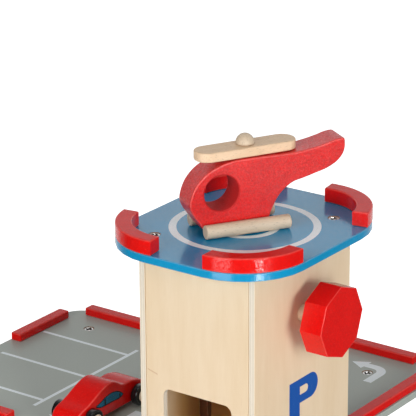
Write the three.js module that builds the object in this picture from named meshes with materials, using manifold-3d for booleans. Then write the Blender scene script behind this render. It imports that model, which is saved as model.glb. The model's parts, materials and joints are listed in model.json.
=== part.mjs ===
import * as THREE from 'three';
import * as BufferGeometryUtils from 'three/addons/utils/BufferGeometryUtils.js';
import Module from 'manifold-3d';

// A wooden toy parking garage: a plywood lift tower with a helicopter pad on top, a parking deck
// beside and behind it, a ramp, one toy car and one toy helicopter.
// Millimetres, +Z up. The origin is on the floor, straight below the middle of the helicopter pad.
// +X points out of the face with the winding knob, and -Y out of the face with the lift's front gate.

const wasm = await Module();
wasm.setup();

// Fits
const glueGap = 0.3;          // between a turned or cut piece and the piece that it is glued to
const runningGap = 0.3;       // round a shaft in its hole
const slidingGap = 0.5;       // between the cabin's grooves and the guide strips
const cutOverrun = 3;         // how far a cutter runs past the face that it cuts

// Boards
const baseThick = 9;
const deckThick = 6;
const padThick = 6;
const panelThick = 5;

// Levels above the floor
const deckLevel = 170;        // top of the parking deck
const padRise = 170;          // from the deck's top to the pad's top
const padLevel = deckLevel + padRise;
const deckUnder = deckLevel - deckThick;
const padUnder = padLevel - padThick;

// Base board
const baseLeft = 269;
const baseRight = 60;
const baseFront = 130;
const baseBack = 206.4;
const baseCorner = 22;
const slotDepth = 3;          // the tower's panels stand in slots of this depth

// Tower
const towerWide = 99;
const towerDeep = 121;
const towerShift = 1;         // the tower's middle lies this far behind the pad's middle
const gateWide = 59.2;
const gateHigh = 59;
const gateCorner = 6;
const towerFront = towerShift - towerDeep / 2;
const towerBack = towerShift + towerDeep / 2;
const innerHalf = towerWide / 2 - panelThick;
const topBattenWide = 12;
const topBattenHigh = 16;

// Lift winder
const shaftDrop = 54.4;       // the shaft's axis lies this far below the pad's top
const shaftRadius = 6.25;
const shaftStub = 4;          // the shaft's end outside the left panel
const shaftLevel = padLevel - shaftDrop;
const collarRadius = 12;
const collarThick = 6;
const collarPlay = 1;
const knobAcross = 50;        // across the flats of the octagon
const knobThick = 18;
const knobStandOff = 15;      // free room for fingers between the panel and the knob
const knobSocket = 12;
const knobEdge = 0.8;
const knobTilt = THREE.MathUtils.degToRad(2.6);

// Lift cord
const cordDiameter = 2.5;
const cordTurns = 4;
const cordPitch = 3.2;
const cordBend = 6;           // radius of the turn from the winding to the collar
const cordLoopSteps = 24;
const cordSides = 6;
const knotRadius = 4;
const windRadius = shaftRadius + cordDiameter / 2 + glueGap / 2;

// Lift cabin
const cabinWall = 8;
const cabinFloorThick = 5;
const cabinRoofThick = 5;
const cabinPlay = 1.5;        // between the cabin and the front and back panels
const cabinClear = 58;        // headroom between floor and roof
const guideWide = 5;
const guideThick = 7.3;
const guideTopDrop = 35.6;    // the guide strips end this far below the shaft's axis
const guideTop = shaftLevel - guideTopDrop;
const grooveDeep = 4.2;
const cabinSidePlay = 3.5;    // between the cabin's walls and the side panels
const cabinOuter = innerHalf - cabinSidePlay;

// Helicopter pad
const padWide = 149;
const padDeep = 174;
const padCorner = 50;
const bumperWide = 12;
const bumperHigh = 11;
const bumperEdge = 1;
const bumperSweep = THREE.MathUtils.degToRad(88.5);
// Degrees by which each bumper is turned about the middle of its corner's curve, as if glued on by eye.
const bumperTurns = { back_right: 9.5, back_left: -3.5, front_left: 7.3, front_right: 0 };
const padScrewInset = 2;      // from the inner face of a side panel to a screw's axis
const padScrewX = innerHalf - padScrewInset;
const padScrewY = 50;

// Wood screws
const screwHeadRadius = 3.7;
const screwCoreRadius = 1.4;
const screwLength = 20;
const screwSink = 0.3;        // how far a head lies below the board's face
const crossLong = 4.2;
const crossWide = 0.9;
const crossDeep = 1.2;

// Parking deck
const deckLeft = 269;
const deckRight = 52.8;
const deckFront = 71;
const deckBack = 206.4;
const deckStepBack = 141.4;   // back edge of the parking row
const deckStepX = 108;        // where the deck widens behind the tower
const deckCorner = 22;
const deckInnerCorner = 10;
const deckPlay = 0.3;         // between the deck and the tower that it goes round
const postRadius = 10;
const postInset = 38.6;
const postRow = 76.2;         // half of the distance between the two left posts
const postRowMiddle = 33;
const backPostX = 3.2;
const backPostY = 162.7;
const cleatSide = 10;

// Deck rails
const railWide = 10;
const railHigh = 6.5;
const railInset = 1.3;
const railEdge = 1;
const railGap = 18;           // from a deck corner to the end of a rail, along the edge
const laneLeft = 168;         // left side of the driving lane
const leftRailFront = 55;
const leftRailBack = 118;
const rightRailFront = 66;

// Ramp
const rampRun = 250;
const rampWide = 104;
const rampMiddle = 110;
const rampThick = 6;
const rampLip = 1.5;
const rampRailWide = 6;
const rampRailHigh = 8;
const rampRailStart = 6;
const rampBlockLip = 2;       // the block's height at its front end
const rampBlockWide = 80;
const rampBlockFront = 24;
const rampBlockBack = 21;

// Helicopter
const heliTurn = THREE.MathUtils.degToRad(57.3);
const heliThick = 22;
const heliEdge = 1.6;
const heliTop = 53.9;
const windowRadius = 13;
const windowAhead = 21.9;     // from the mast towards the nose
const windowLevel = 31.1;
const skidRadius = 5;
const skidLong = 64;
const skidApart = 30.4;
const skidAhead = 4.3;
const rotorLong = 77.5;
const rotorWide = 19.8;
const rotorThick = 7;
const rotorRise = 0.6;        // from the body's top to the rotor
const rotorEdge = 1;
const rotorTurn = THREE.MathUtils.degToRad(4.2);  // at rest, from the body's line
const pegRadius = 3;
const pegHeadRadius = 6.7;
const pegHeadCut = 0.8;       // the round head is cut flat this far below its middle
const pegDeep = 18;

// Toy car
const carMiddle = 121.1;
const carWide = 24;
const carNose = 60;
const carTail = 31;
const carEdge = 1.2;
const wheelRadius = 8.3;
const wheelWide = 5.5;
const wheelPlay = 0.8;
const frontAxle = 44;
const rearAxle = 12.5;
const axleRadius = 2;
const hubRadius = 4.9;
const hubThick = 1.4;

const finishes = {
  redPaint: { color: 0xc8161c, roughness: 0.42, metalness: 0 },
  bluePaint: { color: 0x4c87a6, roughness: 0.45, metalness: 0 },
  greyPaint: { color: 0x8b928a, roughness: 0.6, metalness: 0 },
  plywood: { color: 0xe2c9a4, roughness: 0.62, metalness: 0 },
  beech: { color: 0xe0c294, roughness: 0.58, metalness: 0 },
  steel: { color: 0xc4c6c8, roughness: 0.3, metalness: 1 },
  cord: { color: 0xe6e1d3, roughness: 0.9, metalness: 0 },
  blackPaint: { color: 0x17181b, roughness: 0.5, metalness: 0 },
};

// Turns a closed geometry into a solid that can be cut and joined.
function toSolid(geometry) {
  const bare = geometry.clone();
  bare.deleteAttribute('normal');
  bare.deleteAttribute('uv');
  const merged = BufferGeometryUtils.mergeVertices(bare);
  const solid = new wasm.Manifold(new wasm.Mesh({
    numProp: 3,
    vertProperties: new Float32Array(merged.attributes.position.array),
    triVerts: new Uint32Array(merged.index.array),
  }));
  return solid;
}

// Turns a solid back into a geometry.
function toGeometry(solid) {
  const mesh = solid.getMesh();
  const geometry = new THREE.BufferGeometry();
  geometry.setAttribute('position', new THREE.BufferAttribute(mesh.vertProperties, 3));
  geometry.setIndex(new THREE.BufferAttribute(mesh.triVerts, 1));
  geometry.computeVertexNormals();
  return geometry;
}

function cut(geometry, ...cutters) {
  const left = cutters.reduce((solid, cutter) => solid.subtract(toSolid(cutter)), toSolid(geometry));
  return toGeometry(left);
}

// One named piece with its finish.
function piece(name, geometry, finish) {
  const mesh = new THREE.Mesh(geometry, new THREE.MeshStandardMaterial(finishes[finish]));
  mesh.name = name;
  return mesh;
}

// A closed outline through corners [x, y, radius]; a corner with no radius stays sharp.
function outline(corners) {
  const shape = new THREE.Shape();
  corners.forEach(([x, y, radius = 0], i) => {
    const corner = new THREE.Vector2(x, y);
    const before = corners.at(i - 1);
    const after = corners[(i + 1) % corners.length];
    const back = new THREE.Vector2(before[0], before[1]).sub(corner).normalize();
    const on = new THREE.Vector2(after[0], after[1]).sub(corner).normalize();
    if (radius === 0) {
      if (i === 0) shape.moveTo(x, y);
      else shape.lineTo(x, y);
      return;
    }
    const halfAngle = Math.acos(back.dot(on)) / 2;
    const reach = radius / Math.tan(halfAngle);
    const middle = back.clone().add(on).normalize().multiplyScalar(radius / Math.sin(halfAngle)).add(corner);
    const start = back.clone().multiplyScalar(reach).add(corner).sub(middle);
    const end = on.clone().multiplyScalar(reach).add(corner).sub(middle);
    const clockwise = back.cross(on) > 0;
    if (i === 0) shape.moveTo(middle.x + start.x, middle.y + start.y);
    shape.absarc(middle.x, middle.y, radius, start.angle(), end.angle(), clockwise);
  });
  shape.closePath();
  return shape;
}

function rectangle(left, low, right, high, radius = 0) {
  return outline([[left, low, radius], [right, low, radius], [right, high, radius], [left, high, radius]]);
}

// A board from a flat outline: its edges are rounded by edge, and it starts at zero on its own axis.
function board(shape, thick, edge = 0, arcSteps = 4) {
  const geometry = new THREE.ExtrudeGeometry(shape, {
    depth: thick - 2 * edge,
    curveSegments: arcSteps,
    bevelEnabled: edge > 0,
    bevelThickness: edge,
    bevelSize: edge,
    bevelOffset: -edge,
    bevelSegments: 2,
  });
  geometry.translate(0, 0, edge);
  return geometry;
}

const alongX = new THREE.Vector3(1, 0, 0);
const alongY = new THREE.Vector3(0, 1, 0);
const alongZ = new THREE.Vector3(0, 0, 1);

// Stands a board up: its outline's x and y become Y and Z, and its thickness runs along X from start.
function standAlongX(geometry, start) {
  geometry.applyMatrix4(new THREE.Matrix4().makeBasis(alongY, alongZ, alongX));
  return geometry.translate(start, 0, 0);
}

// Stands a board up: its outline's x and y become X and Z, and its thickness runs along -Y from start.
function standAlongY(geometry, start) {
  geometry.applyMatrix4(new THREE.Matrix4().makeBasis(alongX, alongZ, alongY.clone().negate()));
  return geometry.translate(0, start, 0);
}

function box(left, right, front, back, low, high) {
  const geometry = new THREE.BoxGeometry(right - left, back - front, high - low);
  return geometry.translate((left + right) / 2, (front + back) / 2, (low + high) / 2);
}

// A box on one side of the tower's middle plane: inner and outer are distances from that plane.
function sideBox(side, inner, outer, front, back, low, high) {
  const ends = [side * inner, side * outer].sort((a, b) => a - b);
  return box(ends[0], ends[1], front, back, low, high);
}

// A round bar along an axis, centred on a point.
function bar(axis, radius, length, x, y, z, sides = 32) {
  const geometry = new THREE.CylinderGeometry(radius, radius, length, sides);
  if (axis === 'x') geometry.rotateZ(-Math.PI / 2);
  if (axis === 'z') geometry.rotateX(Math.PI / 2);
  return geometry.translate(x, y, z);
}

// A turned piece: its profile [radius, height] runs upwards from the axis and back to it.
function turned(profile, sides) {
  const geometry = new THREE.LatheGeometry(profile.map(([r, h]) => new THREE.Vector2(r, h)), sides);
  return geometry.rotateX(Math.PI / 2);
}

// Countersunk wood screw, head up, its face at zero.
const screwConeDepth = screwHeadRadius - screwCoreRadius;
const screwSides = 16;

function screwBody(grow) {
  const head = screwHeadRadius + grow;
  const core = screwCoreRadius + grow;
  const tip = -screwLength - grow;
  return turned([
    [0, tip],
    [core, tip + core],
    [core, -screwConeDepth],
    [head, 0],
    [0, 0],
  ], screwSides);
}

function screw(x, y, level) {
  const slotA = box(-crossLong / 2, crossLong / 2, -crossWide / 2, crossWide / 2, -crossDeep, cutOverrun);
  const slotB = box(-crossWide / 2, crossWide / 2, -crossLong / 2, crossLong / 2, -crossDeep, cutOverrun);
  return cut(screwBody(0), slotA, slotB).translate(x, y, level - screwSink);
}

// The hole that a screw leaves in what it goes through.
function screwHole(x, y, level) {
  const mouth = bar('z', screwHeadRadius + glueGap, cutOverrun, 0, 0, cutOverrun / 2, screwSides);
  const hole = toSolid(screwBody(glueGap)).add(toSolid(mouth));
  return toGeometry(hole).translate(x, y, level - screwSink);
}

const panelFoot = baseThick - slotDepth + glueGap;

// Posts under the deck
const leftPostX = postInset - deckLeft;
const postSpots = [
  { name: 'post_front_left', x: leftPostX, y: postRowMiddle - postRow },
  { name: 'post_back_left', x: leftPostX, y: postRowMiddle + postRow },
  { name: 'post_back_right', x: backPostX, y: backPostY },
];

function makeBase() {
  const shape = rectangle(-baseLeft, -baseFront, baseRight, baseBack, baseCorner);
  const slotLow = baseThick - slotDepth;
  const slotHigh = baseThick + cutOverrun;
  const sideSlots = [-1, 1].map((side) => {
    return sideBox(side, innerHalf - glueGap, towerWide / 2 + glueGap, towerFront - glueGap,
      towerBack + glueGap, slotLow, slotHigh);
  });
  const legSlots = [towerFront, towerBack - panelThick].flatMap((front) => [-1, 1].map((side) => {
    return sideBox(side, gateWide / 2 - glueGap, innerHalf, front - glueGap, front + panelThick + glueGap,
      slotLow, slotHigh);
  }));
  const socketHigh = slotDepth + cutOverrun;
  const socketMiddle = baseThick - slotDepth + socketHigh / 2;
  const socketRadius = postRadius + glueGap;
  const sockets = postSpots.map(({ x, y }) => bar('z', socketRadius, socketHigh, x, y, socketMiddle));
  const geometry = cut(board(shape, baseThick), ...sideSlots, ...legSlots, ...sockets);
  return [piece('base_board', geometry, 'greyPaint')];
}

function makePosts() {
  return postSpots.map((spot) => {
    const length = deckUnder - panelFoot;
    const dowel = bar('z', postRadius, length, spot.x, spot.y, panelFoot + length / 2);
    const geometry = cut(dowel, screwHole(spot.x, spot.y, deckLevel));
    return piece(spot.name, geometry, 'beech');
  });
}

// The front and back panels are alike: a gate at the ground and another at the deck.
function makeGatePanel(name, start) {
  const half = innerHalf - glueGap;
  const jamb = gateWide / 2;
  const groundHead = baseThick + gateHigh;
  const shape = outline([
    [-half, panelFoot], [-jamb, panelFoot], [-jamb, groundHead, gateCorner], [jamb, groundHead, gateCorner],
    [jamb, panelFoot], [half, panelFoot], [half, padUnder], [-half, padUnder],
  ]);
  shape.holes.push(rectangle(-jamb, deckLevel, jamb, deckLevel + gateHigh, gateCorner));
  return piece(name, standAlongY(board(shape, panelThick), start), 'plywood');
}

function makeSidePanel(name, start) {
  const shape = rectangle(towerFront, panelFoot, towerBack, padUnder);
  const bearing = new THREE.Path();
  bearing.absarc(0, shaftLevel, shaftRadius + runningGap, 0, 2 * Math.PI, true);
  shape.holes.push(bearing);
  const geometry = standAlongX(board(shape, panelThick, 0, 12), start);
  return piece(name, geometry, 'plywood');
}

const padScrewSpots = [
  { name: 'pad_screw_front_left', x: -padScrewX, y: -padScrewY },
  { name: 'pad_screw_front_right', x: padScrewX, y: -padScrewY },
  { name: 'pad_screw_back_left', x: -padScrewX, y: padScrewY },
  { name: 'pad_screw_back_right', x: padScrewX, y: padScrewY },
];

function makeTower() {
  const front = towerFront + panelThick + glueGap;
  const back = towerBack - panelThick - glueGap;
  const battens = [-1, 1].map((side) => {
    const blank = sideBox(side, innerHalf - topBattenWide, innerHalf, front, back,
      padUnder - topBattenHigh, padUnder);
    const holes = [-1, 1].map((end) => screwHole(side * padScrewX, end * padScrewY, padLevel));
    return piece(`top_batten_${side < 0 ? 'left' : 'right'}`, cut(blank, ...holes), 'beech');
  });
  return [
    makeGatePanel('tower_front_panel', towerFront + panelThick),
    makeGatePanel('tower_back_panel', towerBack),
    makeSidePanel('tower_left_panel', -towerWide / 2),
    makeSidePanel('tower_right_panel', innerHalf),
    ...battens,
  ];
}

// Helicopter pad with its four corner bumpers
const padCentreX = padWide / 2 - padCorner;
const padCentreY = padDeep / 2 - padCorner;

function makePad() {
  const shape = rectangle(-padWide / 2, -padDeep / 2, padWide / 2, padDeep / 2, padCorner);
  const slab = board(shape, padThick, 0, 8).translate(0, 0, padUnder);
  const holes = padScrewSpots.map(({ x, y }) => screwHole(x, y, padLevel));
  const screws = padScrewSpots.map(({ name, x, y }) => piece(name, screw(x, y, padLevel), 'steel'));
  const corners = [
    { place: 'back_right', sx: 1, sy: 1 },
    { place: 'back_left', sx: -1, sy: 1 },
    { place: 'front_left', sx: -1, sy: -1 },
    { place: 'front_right', sx: 1, sy: -1 },
  ];
  const bumpers = corners.map(({ place, sx, sy }, i) => {
    const middle = (i + 0.5) * Math.PI / 2 + THREE.MathUtils.degToRad(bumperTurns[place]);
    const start = middle - bumperSweep / 2;
    const end = middle + bumperSweep / 2;
    const arc = new THREE.Shape();
    arc.absarc(0, 0, padCorner, start, end, false);
    arc.absarc(0, 0, padCorner - bumperWide, end, start, true);
    arc.closePath();
    const geometry = board(arc, bumperHigh, bumperEdge, 7);
    const where = [sx * padCentreX, sy * padCentreY, padLevel];
    return piece(`pad_bumper_${place}`, geometry.translate(...where), 'redPaint');
  });
  return [
    piece('helipad_board', cut(slab, ...holes), 'bluePaint'),
    ...screws,
    ...bumpers,
  ];
}

// Parking deck, its rails and the battens that carry it on the tower
function makeDeck() {
  const notchLeft = -towerWide / 2 - deckPlay;
  const notchBack = towerBack + deckPlay;
  const shape = outline([
    [-deckLeft, -deckFront, deckCorner],
    [notchLeft, -deckFront],
    [notchLeft, notchBack],
    [deckRight, notchBack],
    [deckRight, deckBack, deckCorner],
    [-deckStepX, deckBack, deckCorner],
    [-deckStepX, deckStepBack, deckInnerCorner],
    [-deckLeft, deckStepBack, deckCorner],
  ]);
  const slab = board(shape, deckThick).translate(0, 0, deckUnder);
  const geometry = cut(slab, ...postSpots.map((spot) => screwHole(spot.x, spot.y, deckLevel)));
  const screws = postSpots.map(({ name, x, y }) => {
    return piece(name.replace('post', 'deck_screw'), screw(x, y, deckLevel), 'steel');
  });
  const sideCleat = box(-towerWide / 2 - cleatSide, -towerWide / 2, towerFront, towerBack,
    deckUnder - cleatSide, deckUnder);
  const backCleat = box(-towerWide / 2, towerWide / 2, towerBack, towerBack + cleatSide,
    deckUnder - cleatSide, deckUnder);
  return [
    piece('deck_board', geometry, 'greyPaint'),
    ...screws,
    piece('deck_cleat_left', sideCleat, 'beech'),
    piece('deck_cleat_back', backCleat, 'beech'),
    ...makeRails(),
  ];
}

function makeRails() {
  const leftOuter = railInset - deckLeft;
  const rightOuter = deckRight - railInset;
  const backOuter = deckBack - railInset;
  const rowBackOuter = deckStepBack - railInset;
  const stepOuter = railInset - deckStepX;
  const frontOuter = railInset - deckFront;
  const spans = {
    rail_left: [leftOuter, leftOuter + railWide, leftRailFront, leftRailBack],
    rail_row_back: [railGap - deckLeft, stepOuter, rowBackOuter - railWide, rowBackOuter],
    rail_step: [stepOuter, stepOuter + railWide, deckStepBack, deckBack - railGap],
    rail_back: [railGap - deckStepX, deckRight - railGap - railWide, backOuter - railWide, backOuter],
    rail_right: [rightOuter - railWide, rightOuter, rightRailFront, deckBack - railGap - railWide],
    rail_front: [railGap - deckLeft, -laneLeft, frontOuter, frontOuter + railWide],
  };
  return Object.entries(spans).map(([name, [left, right, front, back]]) => {
    const geometry = board(rectangle(left, front, right, back), railHigh, railEdge);
    return piece(name, geometry.translate(0, 0, deckLevel), 'redPaint');
  });
}

// Ramp from the lane's front end down to the floor
const rampSlope = (deckLevel - rampLip) / rampRun;
const rampDrop = rampThick * Math.hypot(1, rampSlope);

function rampTop(y) {
  return deckLevel + (y + deckFront) * rampSlope;
}

function makeRamp() {
  const foot = -deckFront - rampRun;
  const heel = -deckFront + (rampDrop - deckLevel) / rampSlope;
  const left = -rampMiddle - rampWide / 2;
  const boardShape = outline([
    [foot, 0], [heel, 0], [-deckFront, deckLevel - rampDrop], [-deckFront, deckLevel], [foot, rampLip],
  ]);
  const railBack = -deckFront - rampRailStart;
  const railFront = foot + rampRailStart;
  const railShape = outline([
    [railFront, rampTop(railFront)], [railBack, rampTop(railBack)],
    [railBack, rampTop(railBack) + rampRailHigh], [railFront, rampTop(railFront) + rampRailHigh],
  ]);
  const blockFront = -deckFront - rampBlockFront;
  const blockBack = -deckFront + rampBlockBack;
  const blockTop = (y) => rampTop(y) - rampDrop - glueGap;
  const blockLow = blockTop(blockFront) - rampBlockLip;
  const blockShape = outline([
    [blockFront, blockLow], [blockBack, blockLow], [blockBack, deckUnder], [-deckFront, deckUnder],
    [-deckFront, blockTop(-deckFront)], [blockFront, blockTop(blockFront)],
  ]);
  const blockStart = -rampMiddle - rampBlockWide / 2;
  const rails = [
    { name: 'ramp_rail_left', start: left },
    { name: 'ramp_rail_right', start: left + rampWide - rampRailWide },
  ].map(({ name, start }) => {
    const geometry = standAlongX(board(railShape, rampRailWide), start).translate(0, 0, glueGap);
    return piece(name, geometry, 'redPaint');
  });
  return [
    piece('ramp_board', standAlongX(board(boardShape, rampWide), left), 'greyPaint'),
    ...rails,
    piece('ramp_block', standAlongX(board(blockShape, rampBlockWide), blockStart), 'beech'),
  ];
}

// Winder: shaft, collars, knob and the cord's turns
const cordExitSteps = 12;
const collarInner = innerHalf - collarPlay - collarThick;

// The winding's path: straight up to the shaft, round it in loops, then along it to the left collar.
class WindingPath extends THREE.Curve {
  constructor() {
    super();
    const drift = cordPitch / (2 * Math.PI * windRadius);
    this.lead = cordDiameter;
    this.wound = cordTurns * 2 * Math.PI * windRadius;
    this.turnIn = Math.PI / 2 * cordBend;
    this.drift = drift;
    this.end = collarInner - this.wound * drift - cordBend + collarThick / 2;
    this.total = this.lead + this.wound + this.turnIn + this.end;
  }

  getPoint(share, target = new THREE.Vector3()) {
    const along = share * this.total;
    if (along < this.lead) {
      return target.set(0, windRadius, shaftLevel - this.lead + along);
    }
    const past = along - this.lead;
    const onLoops = Math.min(past, this.wound);
    const bent = Math.min(Math.max(past - this.wound, 0), this.turnIn) / cordBend;
    const straight = Math.max(past - this.wound - this.turnIn, 0);
    const around = onLoops + cordBend * Math.sin(bent);
    const sideways = onLoops * this.drift + cordBend * (1 - Math.cos(bent)) + straight;
    const angle = around / windRadius;
    return target.set(-sideways, windRadius * Math.cos(angle), shaftLevel + windRadius * Math.sin(angle));
  }
}

// A cord along a path of points, capped flat at both ends.
function cordAlong(points, radius, sides) {
  const rings = points.length;
  const positions = [];
  const tangent = (i) => {
    const a = points[Math.max(i - 1, 0)];
    const b = points[Math.min(i + 1, rings - 1)];
    return new THREE.Vector3().subVectors(b, a).normalize();
  };
  let across = new THREE.Vector3().crossVectors(tangent(0), alongX).normalize();
  points.forEach((point, i) => {
    const ahead = tangent(i);
    across = across.clone().addScaledVector(ahead, -across.dot(ahead)).normalize();
    const other = new THREE.Vector3().crossVectors(ahead, across);
    for (let k = 0; k < sides; k += 1) {
      const angle = 2 * Math.PI * k / sides;
      const spot = point.clone().addScaledVector(across, radius * Math.cos(angle));
      spot.addScaledVector(other, radius * Math.sin(angle));
      positions.push(spot.x, spot.y, spot.z);
    }
  });
  positions.push(...points[0].toArray(), ...points[rings - 1].toArray());
  const faces = [];
  const firstHub = rings * sides;
  for (let k = 0; k < sides; k += 1) {
    const next = (k + 1) % sides;
    for (let i = 0; i + 1 < rings; i += 1) {
      const a = i * sides + k;
      const b = i * sides + next;
      faces.push(a, b, b + sides, a, b + sides, a + sides);
    }
    faces.push(firstHub, next, k);
    faces.push(firstHub + 1, (rings - 1) * sides + k, (rings - 1) * sides + next);
  }
  const geometry = new THREE.BufferGeometry();
  geometry.setAttribute('position', new THREE.Float32BufferAttribute(positions, 3));
  geometry.setIndex(faces);
  geometry.computeVertexNormals();
  return geometry;
}

// The winding's points, and the least gap between two of its turns, which is printed.
function windingPoints() {
  const path = new WindingPath();
  const steps = Math.round(path.total / (2 * Math.PI * windRadius) * cordLoopSteps) + cordExitSteps;
  const points = Array.from({ length: steps + 1 }, (_, i) => path.getPoint(i / steps));
  const apart = Math.round(cordLoopSteps / 2);
  let nearest = Infinity;
  points.forEach((point, i) => {
    points.slice(i + apart).forEach((other) => {
      nearest = Math.min(nearest, point.distanceTo(other));
    });
  });
  const gap = (nearest - cordDiameter).toFixed(2);
  console.log(`cord winding: ${cordTurns} turns, least gap to itself ${gap} mm`);
  return points;
}

function makeWinder() {
  const panelFace = towerWide / 2;
  const knobStart = panelFace + knobStandOff;
  const shaftStart = -panelFace - shaftStub;
  const shaftEnd = knobStart + knobSocket - glueGap;
  const shaftLong = shaftEnd - shaftStart;
  const shaft = bar('x', shaftRadius, shaftLong, (shaftStart + shaftEnd) / 2, 0, shaftLevel);
  const knobRadius = knobAcross / 2 / Math.cos(Math.PI / 8);
  const octagon = outline(Array.from({ length: 8 }, (_, k) => {
    const angle = knobTilt + k * Math.PI / 4;
    return [knobRadius * Math.cos(angle), shaftLevel + knobRadius * Math.sin(angle)];
  }));
  const knobBlank = standAlongX(board(octagon, knobThick, knobEdge), knobStart);
  const socketLong = knobSocket + cutOverrun;
  const socket = bar('x', shaftRadius + glueGap, socketLong, knobStart + knobSocket - socketLong / 2, 0,
    shaftLevel);
  const collar = (middle) => {
    const ring = bar('x', collarRadius, collarThick, middle, 0, shaftLevel);
    return cut(ring, bar('x', shaftRadius + glueGap, collarThick + cutOverrun, middle, 0, shaftLevel));
  };
  const collarMiddle = innerHalf - collarPlay - collarThick / 2;
  const points = windingPoints();
  const last = points.at(-1);
  const notchLong = collarThick + cutOverrun;
  const notch = bar('x', cordDiameter / 2 + glueGap, notchLong, -collarMiddle, last.y, last.z, 12);
  return [
    piece('winder_shaft', shaft, 'beech'),
    piece('winder_knob', cut(knobBlank, socket), 'redPaint'),
    piece('collar_left', cut(collar(-collarMiddle), notch), 'beech'),
    piece('collar_right', collar(collarMiddle), 'beech'),
    piece('cord_winding', cordAlong(points, cordDiameter / 2, cordSides), 'cord'),
  ];
}

// Lift: cabin, guide strips and the cord's free drop
const cabinFloorTop = baseThick + glueGap + cabinFloorThick;
const cabinRoofUnder = cabinFloorTop + cabinClear;
const cabinRoofTop = cabinRoofUnder + cabinRoofThick;

function makeLift() {
  const front = towerFront + panelThick + cabinPlay;
  const back = towerBack - panelThick - cabinPlay;
  const cordY = windRadius;
  const grooveHalf = guideWide / 2 + slidingGap;
  const groove = (side, low, high) => sideBox(side, cabinOuter - grooveDeep, cabinOuter + cutOverrun,
    cordY - grooveHalf, cordY + grooveHalf, low - cutOverrun, high + cutOverrun);
  const wall = (side) => {
    const blank = sideBox(side, cabinOuter - cabinWall, cabinOuter, front, back,
      cabinFloorTop, cabinRoofUnder);
    return cut(blank, groove(side, cabinFloorTop, cabinRoofUnder));
  };
  const plate = (low, high) => {
    const blank = box(-cabinOuter, cabinOuter, front, back, low, high);
    return cut(blank, groove(-1, low, high), groove(1, low, high));
  };
  const cordHole = bar('z', cordDiameter / 2 + glueGap, cabinRoofThick + 2 * cutOverrun, 0, cordY,
    cabinRoofUnder + cabinRoofThick / 2, 16);
  const knotMiddle = cabinRoofUnder - glueGap - knotRadius;
  const knotBall = new THREE.SphereGeometry(knotRadius, 16, 10).rotateX(Math.PI / 2);
  knotBall.translate(0, cordY, knotMiddle);
  const stemLong = cabinRoofTop - knotMiddle;
  const knotStem = bar('z', cordDiameter / 2, stemLong, 0, cordY, knotMiddle + stemLong / 2, 12);
  const knot = toGeometry(toSolid(knotBall).add(toSolid(knotStem)));
  const dropLow = cabinRoofTop + glueGap;
  const dropHigh = shaftLevel - cordDiameter - glueGap;
  const drop = bar('z', cordDiameter / 2, dropHigh - dropLow, 0, cordY, (dropLow + dropHigh) / 2, 8);
  const guide = (side) => sideBox(side, innerHalf - guideThick, innerHalf, cordY - guideWide / 2,
    cordY + guideWide / 2, baseThick, guideTop);
  return [
    piece('cabin_floor', plate(baseThick + glueGap, cabinFloorTop), 'beech'),
    piece('cabin_wall_left', wall(-1), 'plywood'),
    piece('cabin_wall_right', wall(1), 'plywood'),
    piece('cabin_roof', cut(plate(cabinRoofUnder, cabinRoofTop), cordHole), 'plywood'),
    piece('cord_knot', knot, 'cord'),
    piece('cord_drop', drop, 'cord'),
    piece('guide_strip_left', guide(-1), 'beech'),
    piece('guide_strip_right', guide(1), 'beech'),
  ];
}

// Helicopter, drawn from the side: u runs from the mast towards the tail, v is the height above the pad.
// The outline's shares are of the tail's reach behind the mast and of the body's height at the mast.
const heliTailReach = 72.4;
const heliOutlineShares = [
  [0.172, 0.059], [0.2, 0.18], [0.247, 0.32], [0.3, 0.44], [0.376, 0.537], [0.45, 0.597], [0.556, 0.631],
  [0.684, 0.677], [0.815, 0.728], [0.932, 0.82], [0.984, 0.912], [1, 1.04], [0.99, 1.108], [0.938, 1.113],
  [0.81, 1.073], [0.68, 1.036], [0.556, 1.012], [0.45, 1], [0, 1], [-0.17, 0.994], [-0.316, 0.95],
  [-0.476, 0.84], [-0.571, 0.7], [-0.62, 0.546], [-0.632, 0.447], [-0.611, 0.352], [-0.53, 0.185],
  [-0.475, 0.085], [-0.44, 0.059],
];

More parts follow.
